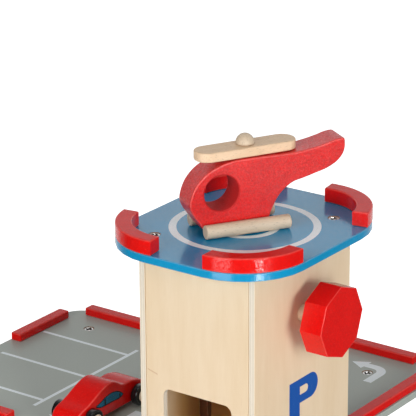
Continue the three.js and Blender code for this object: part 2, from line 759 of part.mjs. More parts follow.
function makeHelicopter() {
  const shape = new THREE.Shape();
  const points = heliOutlineShares.map(([u, v]) => new THREE.Vector2(u * heliTailReach, v * heliTop));
  const [first, ...rest] = points;
  shape.moveTo(first.x, first.y);
  rest.forEach((point) => shape.lineTo(point.x, point.y));
  shape.closePath();
  const blank = standAlongY(board(shape, heliThick, heliEdge), heliThick / 2);
  const window = bar('y', windowRadius, heliThick + cutOverrun, -windowAhead, 0, windowLevel, 40);
  const skidLevel = skidRadius + glueGap;
  const grooves = [-1, 1].map((side) => bar('x', skidRadius + glueGap, skidLong * 2, 0, side * skidApart / 2,
    skidLevel));
  const pegHoleFoot = heliTop - pegDeep;
  const pegHoleLong = pegDeep + cutOverrun;
  const pegHole = bar('z', pegRadius + glueGap, pegHoleLong, 0, 0, pegHoleFoot + pegHoleLong / 2);
  const rotorLow = heliTop + rotorRise;
  const rotorHigh = rotorLow + rotorThick;
  const end = (rotorLong - rotorWide) / 2;
  const stadium = new THREE.Shape();
  stadium.absarc(end, 0, rotorWide / 2, -Math.PI / 2, Math.PI / 2, false);
  stadium.absarc(-end, 0, rotorWide / 2, Math.PI / 2, 3 * Math.PI / 2, false);
  stadium.closePath();
  const rotorBlank = board(stadium, rotorThick, rotorEdge, 7).rotateZ(rotorTurn).translate(0, 0, rotorLow);
  const rotorMiddle = rotorLow + rotorThick / 2;
  const rotorHole = bar('z', pegRadius + runningGap, rotorThick + 2 * cutOverrun, 0, 0, rotorMiddle);
  const headLow = rotorHigh + runningGap;
  const headMiddle = headLow + pegHeadCut;
  const headSteps = 10;
  const lowAngle = -Math.asin(pegHeadCut / pegHeadRadius);
  const head = Array.from({ length: headSteps + 1 }, (_, i) => {
    const angle = lowAngle + (Math.PI / 2 - lowAngle) * i / headSteps;
    const radius = i === headSteps ? 0 : pegHeadRadius * Math.cos(angle);
    return [radius, headMiddle + pegHeadRadius * Math.sin(angle)];
  });
  const pegFoot = pegHoleFoot + glueGap;
  const peg = turned([[0, pegFoot], [pegRadius, pegFoot], [pegRadius, headLow], ...head], 24);
  const skid = (side) => bar('x', skidRadius, skidLong, -skidAhead, side * skidApart / 2, skidLevel, 20);
  const helicopter = new THREE.Group();
  helicopter.add(
    piece('helicopter_body', cut(blank, window, ...grooves, pegHole), 'redPaint'),
    piece('helicopter_skid_left', skid(1), 'beech'),
    piece('helicopter_skid_right', skid(-1), 'beech'),
    piece('rotor_peg', peg, 'beech'),
    piece('rotor_bar', cut(rotorBlank, rotorHole), 'beech'),
  );
  helicopter.position.z = padLevel;
  helicopter.rotation.z = heliTurn;
  return helicopter;
}

// Toy car, drawn from the side: shares of the length from nose to tail and of the roof's height.
const carRoof = 28.3;
const carOutlineShares = [
  [0.02, 0.145], [0.976, 0.145], [0.993, 0.165], [1, 0.247], [0.978, 0.389], [0.923, 0.53],
  [0.865, 0.633], [0.814, 0.693], [0.754, 0.739], [0.686, 0.749], [0.643, 0.749], [0.604, 0.799],
  [0.566, 0.88], [0.516, 0.965], [0.467, 1], [0.412, 0.989], [0.352, 0.933], [0.286, 0.848],
  [0.22, 0.753], [0.154, 0.671], [0.099, 0.622], [0.044, 0.551], [0.013, 0.442], [0.004, 0.283],
  [0, 0.2],
];

function makeCar() {
  const length = carNose + carTail;
  const shape = new THREE.Shape();
  carOutlineShares.forEach(([along, up], i) => {
    const y = along * length - carNose;
    const z = up * carRoof;
    if (i === 0) shape.moveTo(y, z);
    else shape.lineTo(y, z);
  });
  shape.closePath();
  const axles = [
    { name: 'car_front', y: -frontAxle },
    { name: 'car_rear', y: rearAxle },
  ];
  const centre = wheelRadius + glueGap;
  const boreLong = carWide + cutOverrun;
  const bores = axles.map(({ y }) => bar('x', axleRadius + runningGap, boreLong, 0, y, centre, 24));
  const body = cut(standAlongX(board(shape, carWide, carEdge), -carWide / 2), ...bores);
  const wheelInner = carWide / 2 + wheelPlay;
  const wheelOuter = wheelInner + wheelWide;
  const capOuter = wheelOuter + glueGap + hubThick;
  const car = new THREE.Group();
  car.add(piece('car_body', body, 'redPaint'));
  axles.forEach(({ name, y }) => {
    const axle = turned([
      [0, -capOuter], [hubRadius, -capOuter], [hubRadius, -capOuter + hubThick],
      [axleRadius, -capOuter + hubThick], [axleRadius, capOuter - hubThick],
      [hubRadius, capOuter - hubThick], [hubRadius, capOuter], [0, capOuter],
    ], 24).rotateY(Math.PI / 2).translate(0, y, centre);
    car.add(piece(`${name}_axle`, axle, 'beech'));
    [-1, 1].forEach((side) => {
      const round = new THREE.Shape();
      round.absarc(0, 0, wheelRadius, 0, 2 * Math.PI, false);
      const hole = new THREE.Path();
      hole.absarc(0, 0, axleRadius + glueGap, 0, 2 * Math.PI, true);
      round.holes.push(hole);
      const blank = board(round, wheelWide, 0, 14);
      const geometry = standAlongX(blank, side < 0 ? -wheelOuter : wheelInner).translate(0, y, centre);
      car.add(piece(`${name}_wheel_${side < 0 ? 'left' : 'right'}`, geometry, 'blackPaint'));
    });
  });
  car.position.set(-carMiddle, 0, deckLevel);
  return car;
}

const garage = new THREE.Group();
garage.add(...makeBase(), ...makePosts(), ...makeTower(), ...makePad(), ...makeDeck(), ...makeRamp());
garage.add(...makeWinder(), ...makeLift(), makeHelicopter(), makeCar());

export default garage;
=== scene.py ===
# %% [markdown]
# # A wooden toy parking garage with a lift
# The real toy is sawn plywood and beech, glued and screwed, and painted in a few bright colours.
# This lesson dresses a finished construction: every piece already has its place and its size, and
# here each one gets the softly rounded edges, the grain, the lacquer and the printed lines that a
# shop's photograph shows. The first cell loads the construction and keeps its pieces, whose boxes
# give the sizes read later.

# %% Load the construction
import json
import math
import bpy
import numpy as np
from mathutils import Matrix, Vector
from mathutils.geometry import delaunay_2d_cdt


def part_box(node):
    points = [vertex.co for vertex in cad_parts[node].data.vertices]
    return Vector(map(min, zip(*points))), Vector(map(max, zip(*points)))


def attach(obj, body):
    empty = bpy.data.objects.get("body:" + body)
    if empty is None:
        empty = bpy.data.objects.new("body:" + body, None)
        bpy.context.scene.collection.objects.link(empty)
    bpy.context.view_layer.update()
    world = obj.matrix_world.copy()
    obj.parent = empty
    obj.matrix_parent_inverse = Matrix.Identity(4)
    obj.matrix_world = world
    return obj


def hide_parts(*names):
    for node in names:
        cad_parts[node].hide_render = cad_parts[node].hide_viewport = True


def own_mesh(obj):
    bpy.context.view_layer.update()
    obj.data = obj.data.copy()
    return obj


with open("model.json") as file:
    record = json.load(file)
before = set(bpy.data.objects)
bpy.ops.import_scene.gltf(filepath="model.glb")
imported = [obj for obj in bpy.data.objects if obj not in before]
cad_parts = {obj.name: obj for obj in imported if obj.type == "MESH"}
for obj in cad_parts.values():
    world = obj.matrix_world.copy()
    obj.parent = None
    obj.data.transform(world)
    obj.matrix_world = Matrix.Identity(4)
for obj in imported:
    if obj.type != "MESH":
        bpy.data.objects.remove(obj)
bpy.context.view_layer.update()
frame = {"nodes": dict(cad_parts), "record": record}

record = frame["record"]
bodies = record["behaviour"]["bodies"]
body_of_node = {node: body for body, nodes in bodies.items() for node in nodes}
mm = 0.001
print("construction:", len(frame["nodes"]), "pieces")

# %% [markdown]
# ## The camera
# A product photo like this is taken from far away with a long lens, so that upright edges stay
# upright and nothing bulges. The lens and the standpoint were worked out from lines on the toy that
# are square to each other on the real thing. The picture's own tilt is a third of a degree.

# %% Set up the camera
view_azimuth, view_elevation, view_roll = (math.radians(a) for a in (35.66, 19.74, -0.33))
eye = Vector((0.9562, -1.3774, 0.9553))
sensor_width, lens, farthest_seen = 36.0, 218.25, 20

backwards = Vector((math.sin(view_azimuth) * math.cos(view_elevation),
                    -math.cos(view_azimuth) * math.cos(view_elevation),
                    math.sin(view_elevation)))
level_right = (-backwards).cross(Vector((0, 0, 1))).normalized()
level_up = backwards.cross(level_right)
right = math.cos(view_roll) * level_right + math.sin(view_roll) * level_up
up = math.cos(view_roll) * level_up - math.sin(view_roll) * level_right
camera = bpy.data.objects.new("camera", bpy.data.cameras.new("camera"))
camera.data.lens, camera.data.sensor_width = lens, sensor_width
camera.data.clip_end = farthest_seen
turned_axes = Matrix((right, up, backwards)).transposed().to_4x4()
camera.matrix_world = Matrix.Translation(eye) @ turned_axes
bpy.context.scene.collection.objects.link(camera)
bpy.context.scene.camera = camera
print("camera stands", round(eye.length, 3), "m from the origin with a", lens, "mm lens")

# %% [markdown]
# ## Shader sums as Python sums
# A finish is a small recipe: take a coordinate, make streaks of it, mix two colours by them. Written
# node by node it is long. So one little class stands for the output of a node and knows how to add,
# subtract and multiply itself, and a second class holds the recipe's nodes and has one method for
# all of them: the kind of node, its settings, and what goes into its sockets.

# %% A value in a finish, and the finish itself
class Amount:
    """The output of a node. Arithmetic on it adds a Math node and gives that node's output."""

    def __init__(self, finish, socket):
        self.finish, self.socket = finish, socket

    def math(self, operation, *inputs):
        """One Math node with these inputs, which are amounts or plain numbers."""
        settings = {"operation": operation}
        return self.finish.node("ShaderNodeMath", settings, dict(enumerate(inputs)))

    def __add__(self, other):
        return self.math("ADD", self, other)

    def __sub__(self, other):
        return self.math("SUBTRACT", self, other)

    def __rsub__(self, other):
        return self.math("SUBTRACT", other, self)

    def __mul__(self, other):
        return self.math("MULTIPLY", self, other)

    def __abs__(self):
        return self.math("ABSOLUTE", self)

    __radd__, __rmul__ = __add__, __mul__

    def wave(self):
        """Sine."""
        return self.math("SINE", self)

    def repeat(self, length):
        """What is left of the amount after whole lengths, always from zero up to the length."""
        return self.math("FLOORED_MODULO", self, length)

    def ramp(self, start, end):
        """0 below start, 1 above end, and a smooth rise between. With start above end it falls."""
        return self.finish.node("ShaderNodeMapRange",
                                {"interpolation_type": "SMOOTHSTEP", "clamp": True},
                                {"Value": self, "From Min": start, "From Max": end})


class Finish:
    """One material. Its coordinates are the piece's own board coordinates, in millimetres. Only the
    plywood's third one is a share: 0 at one face of the board and 1 at the other."""

    def __init__(self, name):
        self.material = bpy.data.materials.new(name)
        self.material.use_nodes = True
        self.tree = self.material.node_tree
        self.tree.nodes.clear()

    def node(self, kind, settings, values, output=0):
        """Adds any node: its settings first, then each socket's value or link. Gives one output."""
        node = self.tree.nodes.new(kind)
        for name, setting in settings.items():
            setattr(node, name, setting)
        for name, value in values.items():
            if isinstance(value, Amount):
                self.tree.links.new(value.socket, node.inputs[name])
            else:
                node.inputs[name].default_value = value
        return Amount(self, node.outputs[output] if node.outputs else None)

    def noise(self, coordinates, scale, stretch, detail, roughness=0.5):
        """Noise from about 0 to 1 on coordinates that are first multiplied by stretch."""
        stretched = self.node("ShaderNodeMapping", {}, {"Vector": coordinates, "Scale": stretch})
        return self.node("ShaderNodeTexNoise", {}, {"Vector": stretched, "Scale": scale,
                                                    "Detail": detail, "Roughness": roughness})

    def parts(self, vector):
        """The x, y and z of a vector."""
        first = self.node("ShaderNodeSeparateXYZ", {}, {"Vector": vector})
        return [Amount(self, first.socket.node.outputs[i]) for i in range(3)]

    def attribute(self, name, output="Fac"):
        """A value that is stored on the piece."""
        return self.node("ShaderNodeAttribute", {"attribute_name": name}, {}, output)

    def mix(self, share, one, other):
        """The colour one, turned into the other by share."""
        one, other = (c if isinstance(c, Amount) else (*c, 1) for c in (one, other))
        return self.node("ShaderNodeMix", {"data_type": "RGBA"}, {0: share, 6: one, 7: other}, 2)

    def surface(self, color, roughness, height, relief, **constants):
        """The shader itself. height goes from 0 to 1 and stands for relief metres."""
        bump = self.node("ShaderNodeBump", {},
                         {"Height": height, "Distance": relief, "Strength": 1.0})
        values = {"Base Color": color, "Roughness": roughness, "Normal": bump}
        values.update({name.replace("_", " "): value for name, value in constants.items()})
        shader = self.node("ShaderNodeBsdfPrincipled", {}, values)
        self.node("ShaderNodeOutputMaterial", {}, {"Surface": shader})
        return self.material


EVEN = (1, 1, 1)
print("finishes are made with", Finish.__name__, "and", Amount.__name__)

# %% [markdown]
# ## From numbers to a piece
# Every shape here ends as three arrays: where the points are, which points make each face, and for
# each point its board coordinates. Those are millimetres along the grain, across it and through the
# thickness, and they are what the finishes read, so that grain runs along a rail whichever way the
# rail lies. Each piece is cut from another spot of the wood, so its coordinates get a shift of their
# own along the grain and across it. Two more values ride along: rim is 1 on a rounded edge, where
# paint wears first and where the lacquer gets a painted highlight, and ink is a printed colour, and
# on some faces a painted shade.

# %% Put arrays into a mesh
GRAIN_SHIFT, SHARP_FROM = 400, 38
pieces = {}
rng = np.random.default_rng(1877)


def add_piece(node, points, faces, board, rim, finish, ink=None, crease=SHARP_FROM):
    """The piece shown for a construction piece, from arrays in millimetres: faces has one array per
    face size. Edges that turn by more than crease degrees stay sharp. The piece moves with the body
    of that construction piece and has its material slot."""
    name = f"dressed_{node}"
    mesh = bpy.data.meshes.new(name)
    points = np.asarray(points, float)
    sizes = np.concatenate([np.full(len(f), f.shape[1]) for f in faces])
    corners = np.concatenate([f.ravel() for f in faces])
    starts = np.concatenate([[0], np.cumsum(sizes)[:-1]])
    mesh.vertices.add(len(points))
    mesh.vertices.foreach_set("co", (points * mm).astype(np.float32).ravel())
    mesh.loops.add(len(corners))
    mesh.loops.foreach_set("vertex_index", corners.astype(np.int32))
    mesh.polygons.add(len(sizes))
    mesh.polygons.foreach_set("loop_start", starts.astype(np.int32))
    mesh.update(calc_edges=True)
    mesh.validate()
    mesh.shade_smooth()
    mesh.set_sharp_from_angle(angle=math.radians(crease))
    shift = rng.uniform(-GRAIN_SHIFT, GRAIN_SHIFT, 3) * (1, 1, 0)
    ink = np.zeros((len(sizes), 4)) if ink is None else ink
    for label, kind, place, field, values in (
            ("board", "FLOAT_VECTOR", "POINT", "vector", np.asarray(board) + shift),
            ("rim", "FLOAT", "POINT", "value", np.asarray(rim)),
            ("ink", "FLOAT_COLOR", "CORNER", "color", np.repeat(ink, sizes, axis=0))):
        stored = mesh.attributes.new(label, kind, place)
        stored.data.foreach_set(field, values.astype(np.float32).ravel())
    mesh.materials.append(finish)
    piece = bpy.data.objects.new(name, mesh)
    bpy.context.scene.collection.objects.link(piece)
    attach(piece, body_of_node[node])
    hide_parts(node)
    pieces[node] = piece
    return piece


print("the grain shifts by up to", GRAIN_SHIFT, "mm from piece to piece")

# %% [markdown]
# ## Sawn boards with softened edges
# Nearly every piece is a flat shape sawn from a board and then sanded along its edges. In numbers
# that is an outline in two dimensions, carried up through the thickness while it draws in a little
# at the bottom and at the top, along a quarter circle. One function makes them all: panels with
# gates, the deck, bumpers, rails, the helicopter and the car. A narrow flat band next to each
# rounding keeps the big faces looking flat. The top and bottom are filled with triangles, and
# printed areas are cut into these triangles.

# %% Outlines
def outline(corners, steps=7):
    """A closed outline through corners (x, y, radius). Where the radius is not zero, the corner is an
    arc: centre + radius * (cos a, sin a), with a going evenly from one side's tangent point to the
    other's."""
    corners = [(*c, 0)[:3] for c in corners]
    parts = []
    for i, (x, y, radius) in enumerate(corners):
        corner = np.array((x, y), float)
        back = np.array(corners[i - 1][:2]) - corner
        on = np.array(corners[(i + 1) % len(corners)][:2]) - corner
        back, on = back / np.linalg.norm(back), on / np.linalg.norm(on)
        if radius == 0:
            parts.append(corner[None])
            continue
        half = math.acos(back @ on) / 2
        middle = corner + (back + on) / np.linalg.norm(back + on) * radius / math.sin(half)
        first, last = (corner + d * radius / math.tan(half) - middle for d in (back, on))
        start = math.atan2(first[1], first[0])
        sweep = (math.atan2(last[1], last[0]) - start + math.pi) % (2 * math.pi) - math.pi
        angles = start + sweep * np.linspace(0, 1, steps + 1)
        parts.append(middle + radius * np.stack([np.cos(angles), np.sin(angles)], 1))
    return np.concatenate(parts)


def rectangle(left, low, right, high, radius=0, steps=7):
    """Four corners, rounded where there is a radius."""
    return outline([(left, low, radius), (right, low, radius), (right, high, radius),
                    (left, high, radius)], steps)


def circle(x, y, radius, steps=40):
    """Centre + radius * (cos a, sin a) for evenly spaced a."""
    angles = np.arange(steps) / steps * 2 * math.pi
    return np.stack([x + radius * np.cos(angles), y + radius * np.sin(angles)], 1)


def arc(x, y, radius, start, end, steps):
    """Points of part of a circle, from start to end degrees."""
    angles = np.radians(np.linspace(start, end, steps + 1))
    return np.stack([x + radius * np.cos(angles), y + radius * np.sin(angles)], 1)


def area(loop):
    """Half the sum of x * next y - next x * y, positive for a loop that runs anticlockwise."""
    ahead = np.roll(loop, -1, axis=0)
    return 0.5 * np.sum(loop[:, 0] * ahead[:, 1] - ahead[:, 0] * loop[:, 1])


def drawn_in(loop, distance):
    """The loop moved to its left by distance: each point along the mitre of its edges' normals."""
    edge = np.roll(loop, -1, axis=0) - loop
    edge = edge / np.linalg.norm(edge, axis=1, keepdims=True)
    normal = np.stack([edge[:, 1], -edge[:, 0]], 1)
    before = np.roll(normal, 1, axis=0)
    mitre = (before + normal) / (1 + np.sum(before * normal, axis=1, keepdims=True))
    return loop - distance * mitre


print("a circle has", len(circle(0, 0, 1)), "points")

# %% The rounding of an edge
LEAST_RIM, BAND_SHARE = 0.2, 0.25


def both_ends(across, along, rim, length):
    """The profile of one end, then its mirror image at the far end of the length."""
    return (np.concatenate([across, across[::-1]]), np.concatenate([along, length - along[::-1]]),
            np.concatenate([rim, rim[::-1]]))


def edge_profile(thick, radius, steps=3):
    """Draw-in, height and rim along a board's edge from the bottom face to the top face: a quarter
    circle radius * (1 - sin a, 1 - cos a) at the bottom and its mirror image at the top."""
    band = radius * BAND_SHARE
    turn = np.linspace(0, math.pi / 2, steps + 1)
    inward = np.concatenate([[radius + band], radius * (1 - np.sin(turn)), [0]])
    side_start = radius + min(band, thick / 2 - radius)
    height = np.concatenate([[0], radius * (1 - np.cos(turn)), [side_start]])
    rim = np.concatenate([[0], np.sin(2 * turn).clip(LEAST_RIM), [0]])
    return both_ends(inward, height, rim, thick)


print("a board has", len(edge_profile(6, 0.5)[0]), "rings of points round each outline")

# %% The board itself
# The second colour is the bare wood in a countersink, dark brown with painted shade.
WHITE_INK, BARE_WOOD_IN_SHADE, NO_INK = (0.86, 0.93, 0.96, 1), (0.22, 0.12, 0.06, 1), (0, 0, 0, 0)
GRAIN_ORDER = {"u": (0, 1, 2), "v": (1, 0, 2), "w": (2, 1, 0)}
INSIDE_ONLY, MERGE_WITHIN = 1, 1e-5


def fill(loops, prints):
    """Triangles between the first loop and the holes, with the printed loops cut in. Gives the
    points, each point's place in the loops or -1, the triangles, and the number of the print on each
    one or -1."""
    flat = [*loops, *[p for p, _ in prints]]
    starts = np.cumsum([0] + [len(f) for f in flat])
    faces = [np.arange(a, b)[::1 if area(loop) > 0 else -1].tolist()
             for loop, a, b in zip(flat, starts[:-1], starts[1:])]
    places, _, triangles, known, _, owners = delaunay_2d_cdt(
        [Vector(p) for p in np.concatenate(flat)], [], faces, INSIDE_ONLY, MERGE_WITHIN)
    rims = starts[len(loops)]
    source = np.array([min([k for k in ks if k < rims], default=-1) for ks in known])
    kept, prints_on = [], []
    for triangle, owner in zip(triangles, owners):
        if 0 in owner and not any(0 < k < len(loops) for k in owner):
            kept.append(triangle)
            prints_on.append(max(owner) - len(loops) if max(owner) >= len(loops) else -1)
    return np.array([(*p,) for p in places]), source, np.array(kept), np.array(prints_on)


def board(node, shape, thick, place, finish, radius=0.5, holes=(), prints=(), underprints=(),
          grain="u", steps=3, face_ink=NO_INK, under_ink=NO_INK):
    """A sawn board. shape and holes are outlines in u and v. place is (origin, u axis, v axis, w
    axis), and a point is origin + u * u axis + v * v axis + w * w axis, with w running through the
    thickness. A hole is an outline, or an outline with its own profile and the colour of its wall."""
    usual = (edge_profile(thick, radius, steps), NO_INK)
    holes = [hole if isinstance(hole, tuple) else (hole, *usual) for hole in holes]
    cuts = [(shape if area(shape) > 0 else shape[::-1], *usual)]
    cuts += [(hole if area(hole) < 0 else hole[::-1], *rest) for hole, *rest in holes]
    loops = [loop for loop, *_ in cuts]
    flat_points, quads, rims, walls, offset, lower, upper = [], [], [], [], 0, [], []
    for loop, (inward, height, rim), wall_ink in cuts:
        n, rings = len(loop), len(inward)
        flat_points.append(np.concatenate([np.column_stack([drawn_in(loop, d), np.full(n, h)])
                                           for d, h in zip(inward, height)]))
        rims.append(np.repeat(rim, n))
        a = offset + np.arange(rings - 1)[:, None] * n + np.arange(n)
        b = offset + np.arange(rings - 1)[:, None] * n + (np.arange(n) + 1) % n
        quads.append(np.stack([a, b, b + n, a + n], 2).reshape(-1, 4))
        walls.append(np.tile(wall_ink, (len(quads[-1]), 1)))
        walls[-1][-n:] = NO_INK  # the flat band beside the top face stays unprinted
        lower.append(offset + np.arange(n))
        upper.append(offset + (rings - 1) * n + np.arange(n))
        offset += rings * n
    caps, inks = [], []
    for ends, level, inlays, ground, turned_over in (
            (lower, 0, underprints, under_ink, True), (upper, thick, prints, face_ink, False)):
        ends = np.concatenate(ends)
        so_far = np.concatenate(flat_points)
        lengths = np.cumsum([0] + [len(loop) for loop in loops])
        rims_here = [so_far[ends[a:b], :2] for a, b in zip(lengths[:-1], lengths[1:])]
        spots, source, triangles, printed_on = fill(rims_here, inlays)
        fresh = source < 0
        number = np.where(fresh, len(so_far) + np.cumsum(fresh) - 1,
                          ends[np.where(fresh, 0, source)])
        flat_points.append(np.column_stack([spots[fresh], np.full(fresh.sum(), level)]))
        rims.append(np.zeros(fresh.sum()))
        faces = number[triangles]
        # The filler may list a triangle either way round. Each is turned to face out of the board.
        corners = spots[triangles]
        wide, long = corners[:, 1] - corners[:, 0], corners[:, 2] - corners[:, 0]
        clockwise = wide[:, 0] * long[:, 1] - wide[:, 1] * long[:, 0] < 0
        flip = clockwise != turned_over
        faces[flip] = faces[flip][:, ::-1]
        caps.append(faces)
        inks.append(np.array([ink for _, ink in inlays] + [ground], float)[printed_on])
    points = np.concatenate(flat_points)
    origin, *axes = (np.array(p, float) for p in place)
    own = points[:, GRAIN_ORDER[grain]]
    if finish == plywood:  # its layers are counted from 0 to 1 through the board
        own[:, 2] = (own[:, 2] - own[:, 2].min()) / np.ptp(own[:, 2])
    return add_piece(node, origin + points @ np.array(axes), [np.concatenate(quads), *caps], own,
                     np.concatenate(rims), finish, np.concatenate([*walls, *inks]))


def lying(z):
    """A board that lies flat with its underside at height z."""
    return (0, 0, z), (1, 0, 0), (0, 1, 0), (0, 0, 1)


def facing_x(start):
    """A board that stands across X: its outline is in Y and Z, and it starts at X = start."""
    return (start, 0, 0), (0, 1, 0), (0, 0, 1), (1, 0, 0)


def facing_y(back):
    """A board that stands across Y: its outline is in X and Z, and it runs forwards from back."""
    return (0, back, 0), (1, 0, 0), (0, 0, 1), (0, -1, 0)


print("grain can run along", ", ".join(GRAIN_ORDER))

# %% [markdown]
# ## Turned pieces
# A dowel, a wheel or a round head comes off a lathe: a profile of radius against length, turned
# round an axis. A solid rod's profile starts and ends near the axis, and a pole closes it there. A
# wheel with a hole has a profile that closes on itself. Screws and cords are rows of points too, so
# they share the last step.

# %% Turned pieces
END_BAND, CORE_SHARE = 0.4, 0.3


def rod_profile(length, radius, soft):
    """Radius, length and rim of a rod with softened ends: (radius - soft + soft * sin a, soft - soft
    * cos a)."""
    turn = np.linspace(0, math.pi / 2, 5)
    r = np.concatenate([[radius * CORE_SHARE, radius - soft - END_BAND],
                        radius - soft + soft * np.sin(turn), [radius]])
    h = np.concatenate([[0, 0], soft - soft * np.cos(turn), [soft + END_BAND]])
    rim = np.concatenate([[0, 0], np.sin(2 * turn).clip(LEAST_RIM), [0]])
    return both_ends(r, h, rim, length)


def skin(node, grid, grain, rim, finish, closed=False, crease=SHARP_FROM):
    """A surface from rows of points, each row a ring. Either the last row joins the first, or both
    are closed by a pole at their mean."""
    rows, sides = grid.shape[:2]
    k = np.arange(sides)
    row = np.arange(rows if closed else rows - 1)[:, None]
    ahead = (row + 1) % rows
    a, b = row * sides + k, row * sides + (k + 1) % sides
    c, d = ahead * sides + (k + 1) % sides, ahead * sides + k
    rim = np.broadcast_to(rim, grid.shape[:2]).ravel()
    points, grain = grid.reshape(-1, 3), grain.reshape(-1, 3)
    faces = [np.stack([a, b, c, d], 2).reshape(-1, 4)]
    if not closed:
        low, high, last = len(points), len(points) + 1, (rows - 1) * sides
        points = np.vstack([points, grid[0].mean(0), grid[-1].mean(0)])
        grain = np.vstack([grain, grain[:sides].mean(0), grain[last:].mean(0)])
        rim = np.append(rim, (rim[0], rim[-1]))
        faces.append(np.concatenate([
            np.stack([np.full(sides, low), (k + 1) % sides, k], 1),
            np.stack([np.full(sides, high), last + k, last + (k + 1) % sides], 1)]))
    return add_piece(node, points, faces, grain, rim, finish, crease=crease)


def turned(node, profile, foot, axis, finish, sides=48, closed=False):
    """A turned piece. At angle t and profile point (r, h), a point is foot + h * axis + r * (side *
    cos t + other * sin t)."""
    r, h, rim = (np.asarray(p, float)[:, None] for p in profile)
    axis = np.array(axis, float)
    side = np.cross(axis, (0, 0, 1) if abs(axis[2]) < 0.9 else (1, 0, 0))
    side = side / np.linalg.norm(side)
    t = np.arange(sides) / sides * 2 * math.pi
    round_one = np.cos(t)[:, None] * side + np.sin(t)[:, None] * np.cross(axis, side)
    grid = np.array(foot) + h[..., None] * axis + r[..., None] * round_one
    grain = np.stack([h + 0 * t, r * np.cos(t), r * np.sin(t)], 2)
    return skin(node, grid, grain, rim, finish, closed)


print("a dowel's profile has", len(rod_profile(60, 5, 0.6)[0]), "points")

# %% [markdown]
# ## Clear lacquer on birch plywood
# The tower is birch plywood: nearly white wood with long, faint streaks and fine pores, under a thin
# satin lacquer. On a sawn edge the layers show as pale and brown stripes. Both come from the board
# coordinates. Streaks are noise that is stretched along the grain, and the stripes are bands across
# the thickness, so they can only be seen where the surface runs through the thickness, which is the
# edge. The printed ink goes on last, and here it also carries the brown painted shade inside the
# tower.

# %% Birch plywood
def printed(finish, tone, gaps):
    """The ink over a tone, thinned where gaps is high. The ink is print, and on some faces a painted
    shade.
    """
    cover = finish.attribute("ink", "Alpha") * (1 - gaps)
    return finish.mix(cover, tone, finish.attribute("ink", "Color"))


def birch_plywood():
    """Colour = two wood tones mixed by streaks, then darkened by pores, by every second layer of the
    edge and by the glue between two layers."""
    layers = 5
    pale_birch, warm_birch, pore_brown = (0.845, 0.68, 0.48), (0.79, 0.61, 0.40), (0.50, 0.31, 0.16)
    edge_pale, edge_brown, glue_brown = (0.84, 0.79, 0.69), (0.66, 0.57, 0.44), (0.40, 0.29, 0.18)
    handled = (0.66, 0.50, 0.33)
    wood = Finish("birch plywood")
    at = wood.attribute("board", "Vector")
    _, _, through = wood.parts(at)
    streaks = wood.noise(at, 0.11, (0.16, 1.0, 0.0), 4, 0.6)
    bands = wood.noise(at, 0.035, (0.12, 1.0, 0.0), 2, 0.5)
    fibres = wood.noise(at, 1.9, (0.03, 1.0, 0.4), 3, 0.7)
    pores = wood.noise(at, 1.1, (0.07, 1.0, 0.5), 2, 0.6).ramp(0.66, 0.78)
    tone = wood.mix((streaks * 0.65 + bands * 0.5 + fibres * 0.25).ramp(0.42, 0.95),
                    pale_birch, warm_birch)
    tone = wood.mix(pores * 0.14, tone, pore_brown)
    layer = (through * layers).repeat(2)
    inside = through.ramp(0.05, 0.12) * through.ramp(0.95, 0.88)
    end_grain = layer.ramp(0.92, 1.06) * layer.ramp(2.06, 1.92) * inside
    glue = abs((through * layers).repeat(1) - 0.5).ramp(0.43, 0.5) * inside
    tone = wood.mix(inside * 0.75, tone, edge_pale)
    tone = wood.mix(end_grain * 0.5, tone, edge_brown)
    tone = wood.mix(glue * 0.4, tone, glue_brown)
    tone = wood.mix(wood.attribute("rim") * 0.15, tone, handled)
    tone = printed(wood, tone, pores * 0.12)
    height = fibres * 0.6 + streaks * 0.4 - pores * 0.5 - end_grain * 0.35 * (fibres + 0.3)
    return wood.surface(tone, fibres * 0.16 + 0.44, height, 0.05 * mm,
                        Coat_Weight=0.1, Coat_Roughness=0.3, Specular_IOR_Level=0.3)


plywood = birch_plywood()
print("birch plywood:", len(plywood.node_tree.nodes), "nodes")

# %% [markdown]
# ## Beech
# Dowels, the rotor and the little battens are beech. Its mark is a rain of short dark flecks along
# the grain, on wood that is a shade warmer than birch. A cut end shows the same vessels as dots.

# %% Beech
def beech(name, pale, warm):
    """Colour = two tones mixed by streaks and rings, with short flecks where stretched noise is
    high. The flecks have the warm tone's colour at less than half its brightness."""
    fleck_brown, handled = tuple(0.45 * c for c in warm), (0.5, 0.33, 0.18)
    wood = Finish(name)
    at = wood.attribute("board", "Vector")
    _, across, _ = wood.parts(at)
    bent = wood.noise(at, 0.05, (0.3, 1, 1), 2)
    rings = ((across * 0.9 + bent * 9.0).wave() * 0.5 + 0.5) * 0.15
    streaks = wood.noise(at, 0.35, (0.1, 1.0, 0.5), 4, 0.65)
    fibres = wood.noise(at, 2.2, (0.05, 1.0, 1.0), 3, 0.7)
    flecks = wood.noise(at, 1.9, (0.2, 1.0, 1.0), 1, 0.4).ramp(0.60, 0.72)
    tone = wood.mix((streaks * 0.7 + rings + fibres * 0.25).ramp(0.4, 1.0), pale, warm)
    tone = wood.mix(flecks * 0.42, tone, fleck_brown)
    tone = wood.mix(wood.attribute("rim") * 0.2, tone, handled)
    height = fibres * 0.5 + streaks * 0.3 - flecks * 0.6
    return wood.surface(tone, fibres * 0.18 + 0.42, height, 0.05 * mm,
                        Coat_Weight=0.15, Coat_Roughness=0.32, Specular_IOR_Level=0.4)


pale_beech = beech("pale beech", (0.70, 0.56, 0.41), (0.56, 0.42, 0.28))
warm_beech = beech("warm beech", (0.87, 0.63, 0.42), (0.75, 0.49, 0.28))
# The darkest beech is for the guide strips inside the tower: their near-black brown is painted shade.
beech_in_painted_shade = beech("beech in painted shade", (0.20, 0.075, 0.03), (0.14, 0.05, 0.02))
print("beech:", len(pale_beech.node_tree.nodes), "nodes in each of three tones")
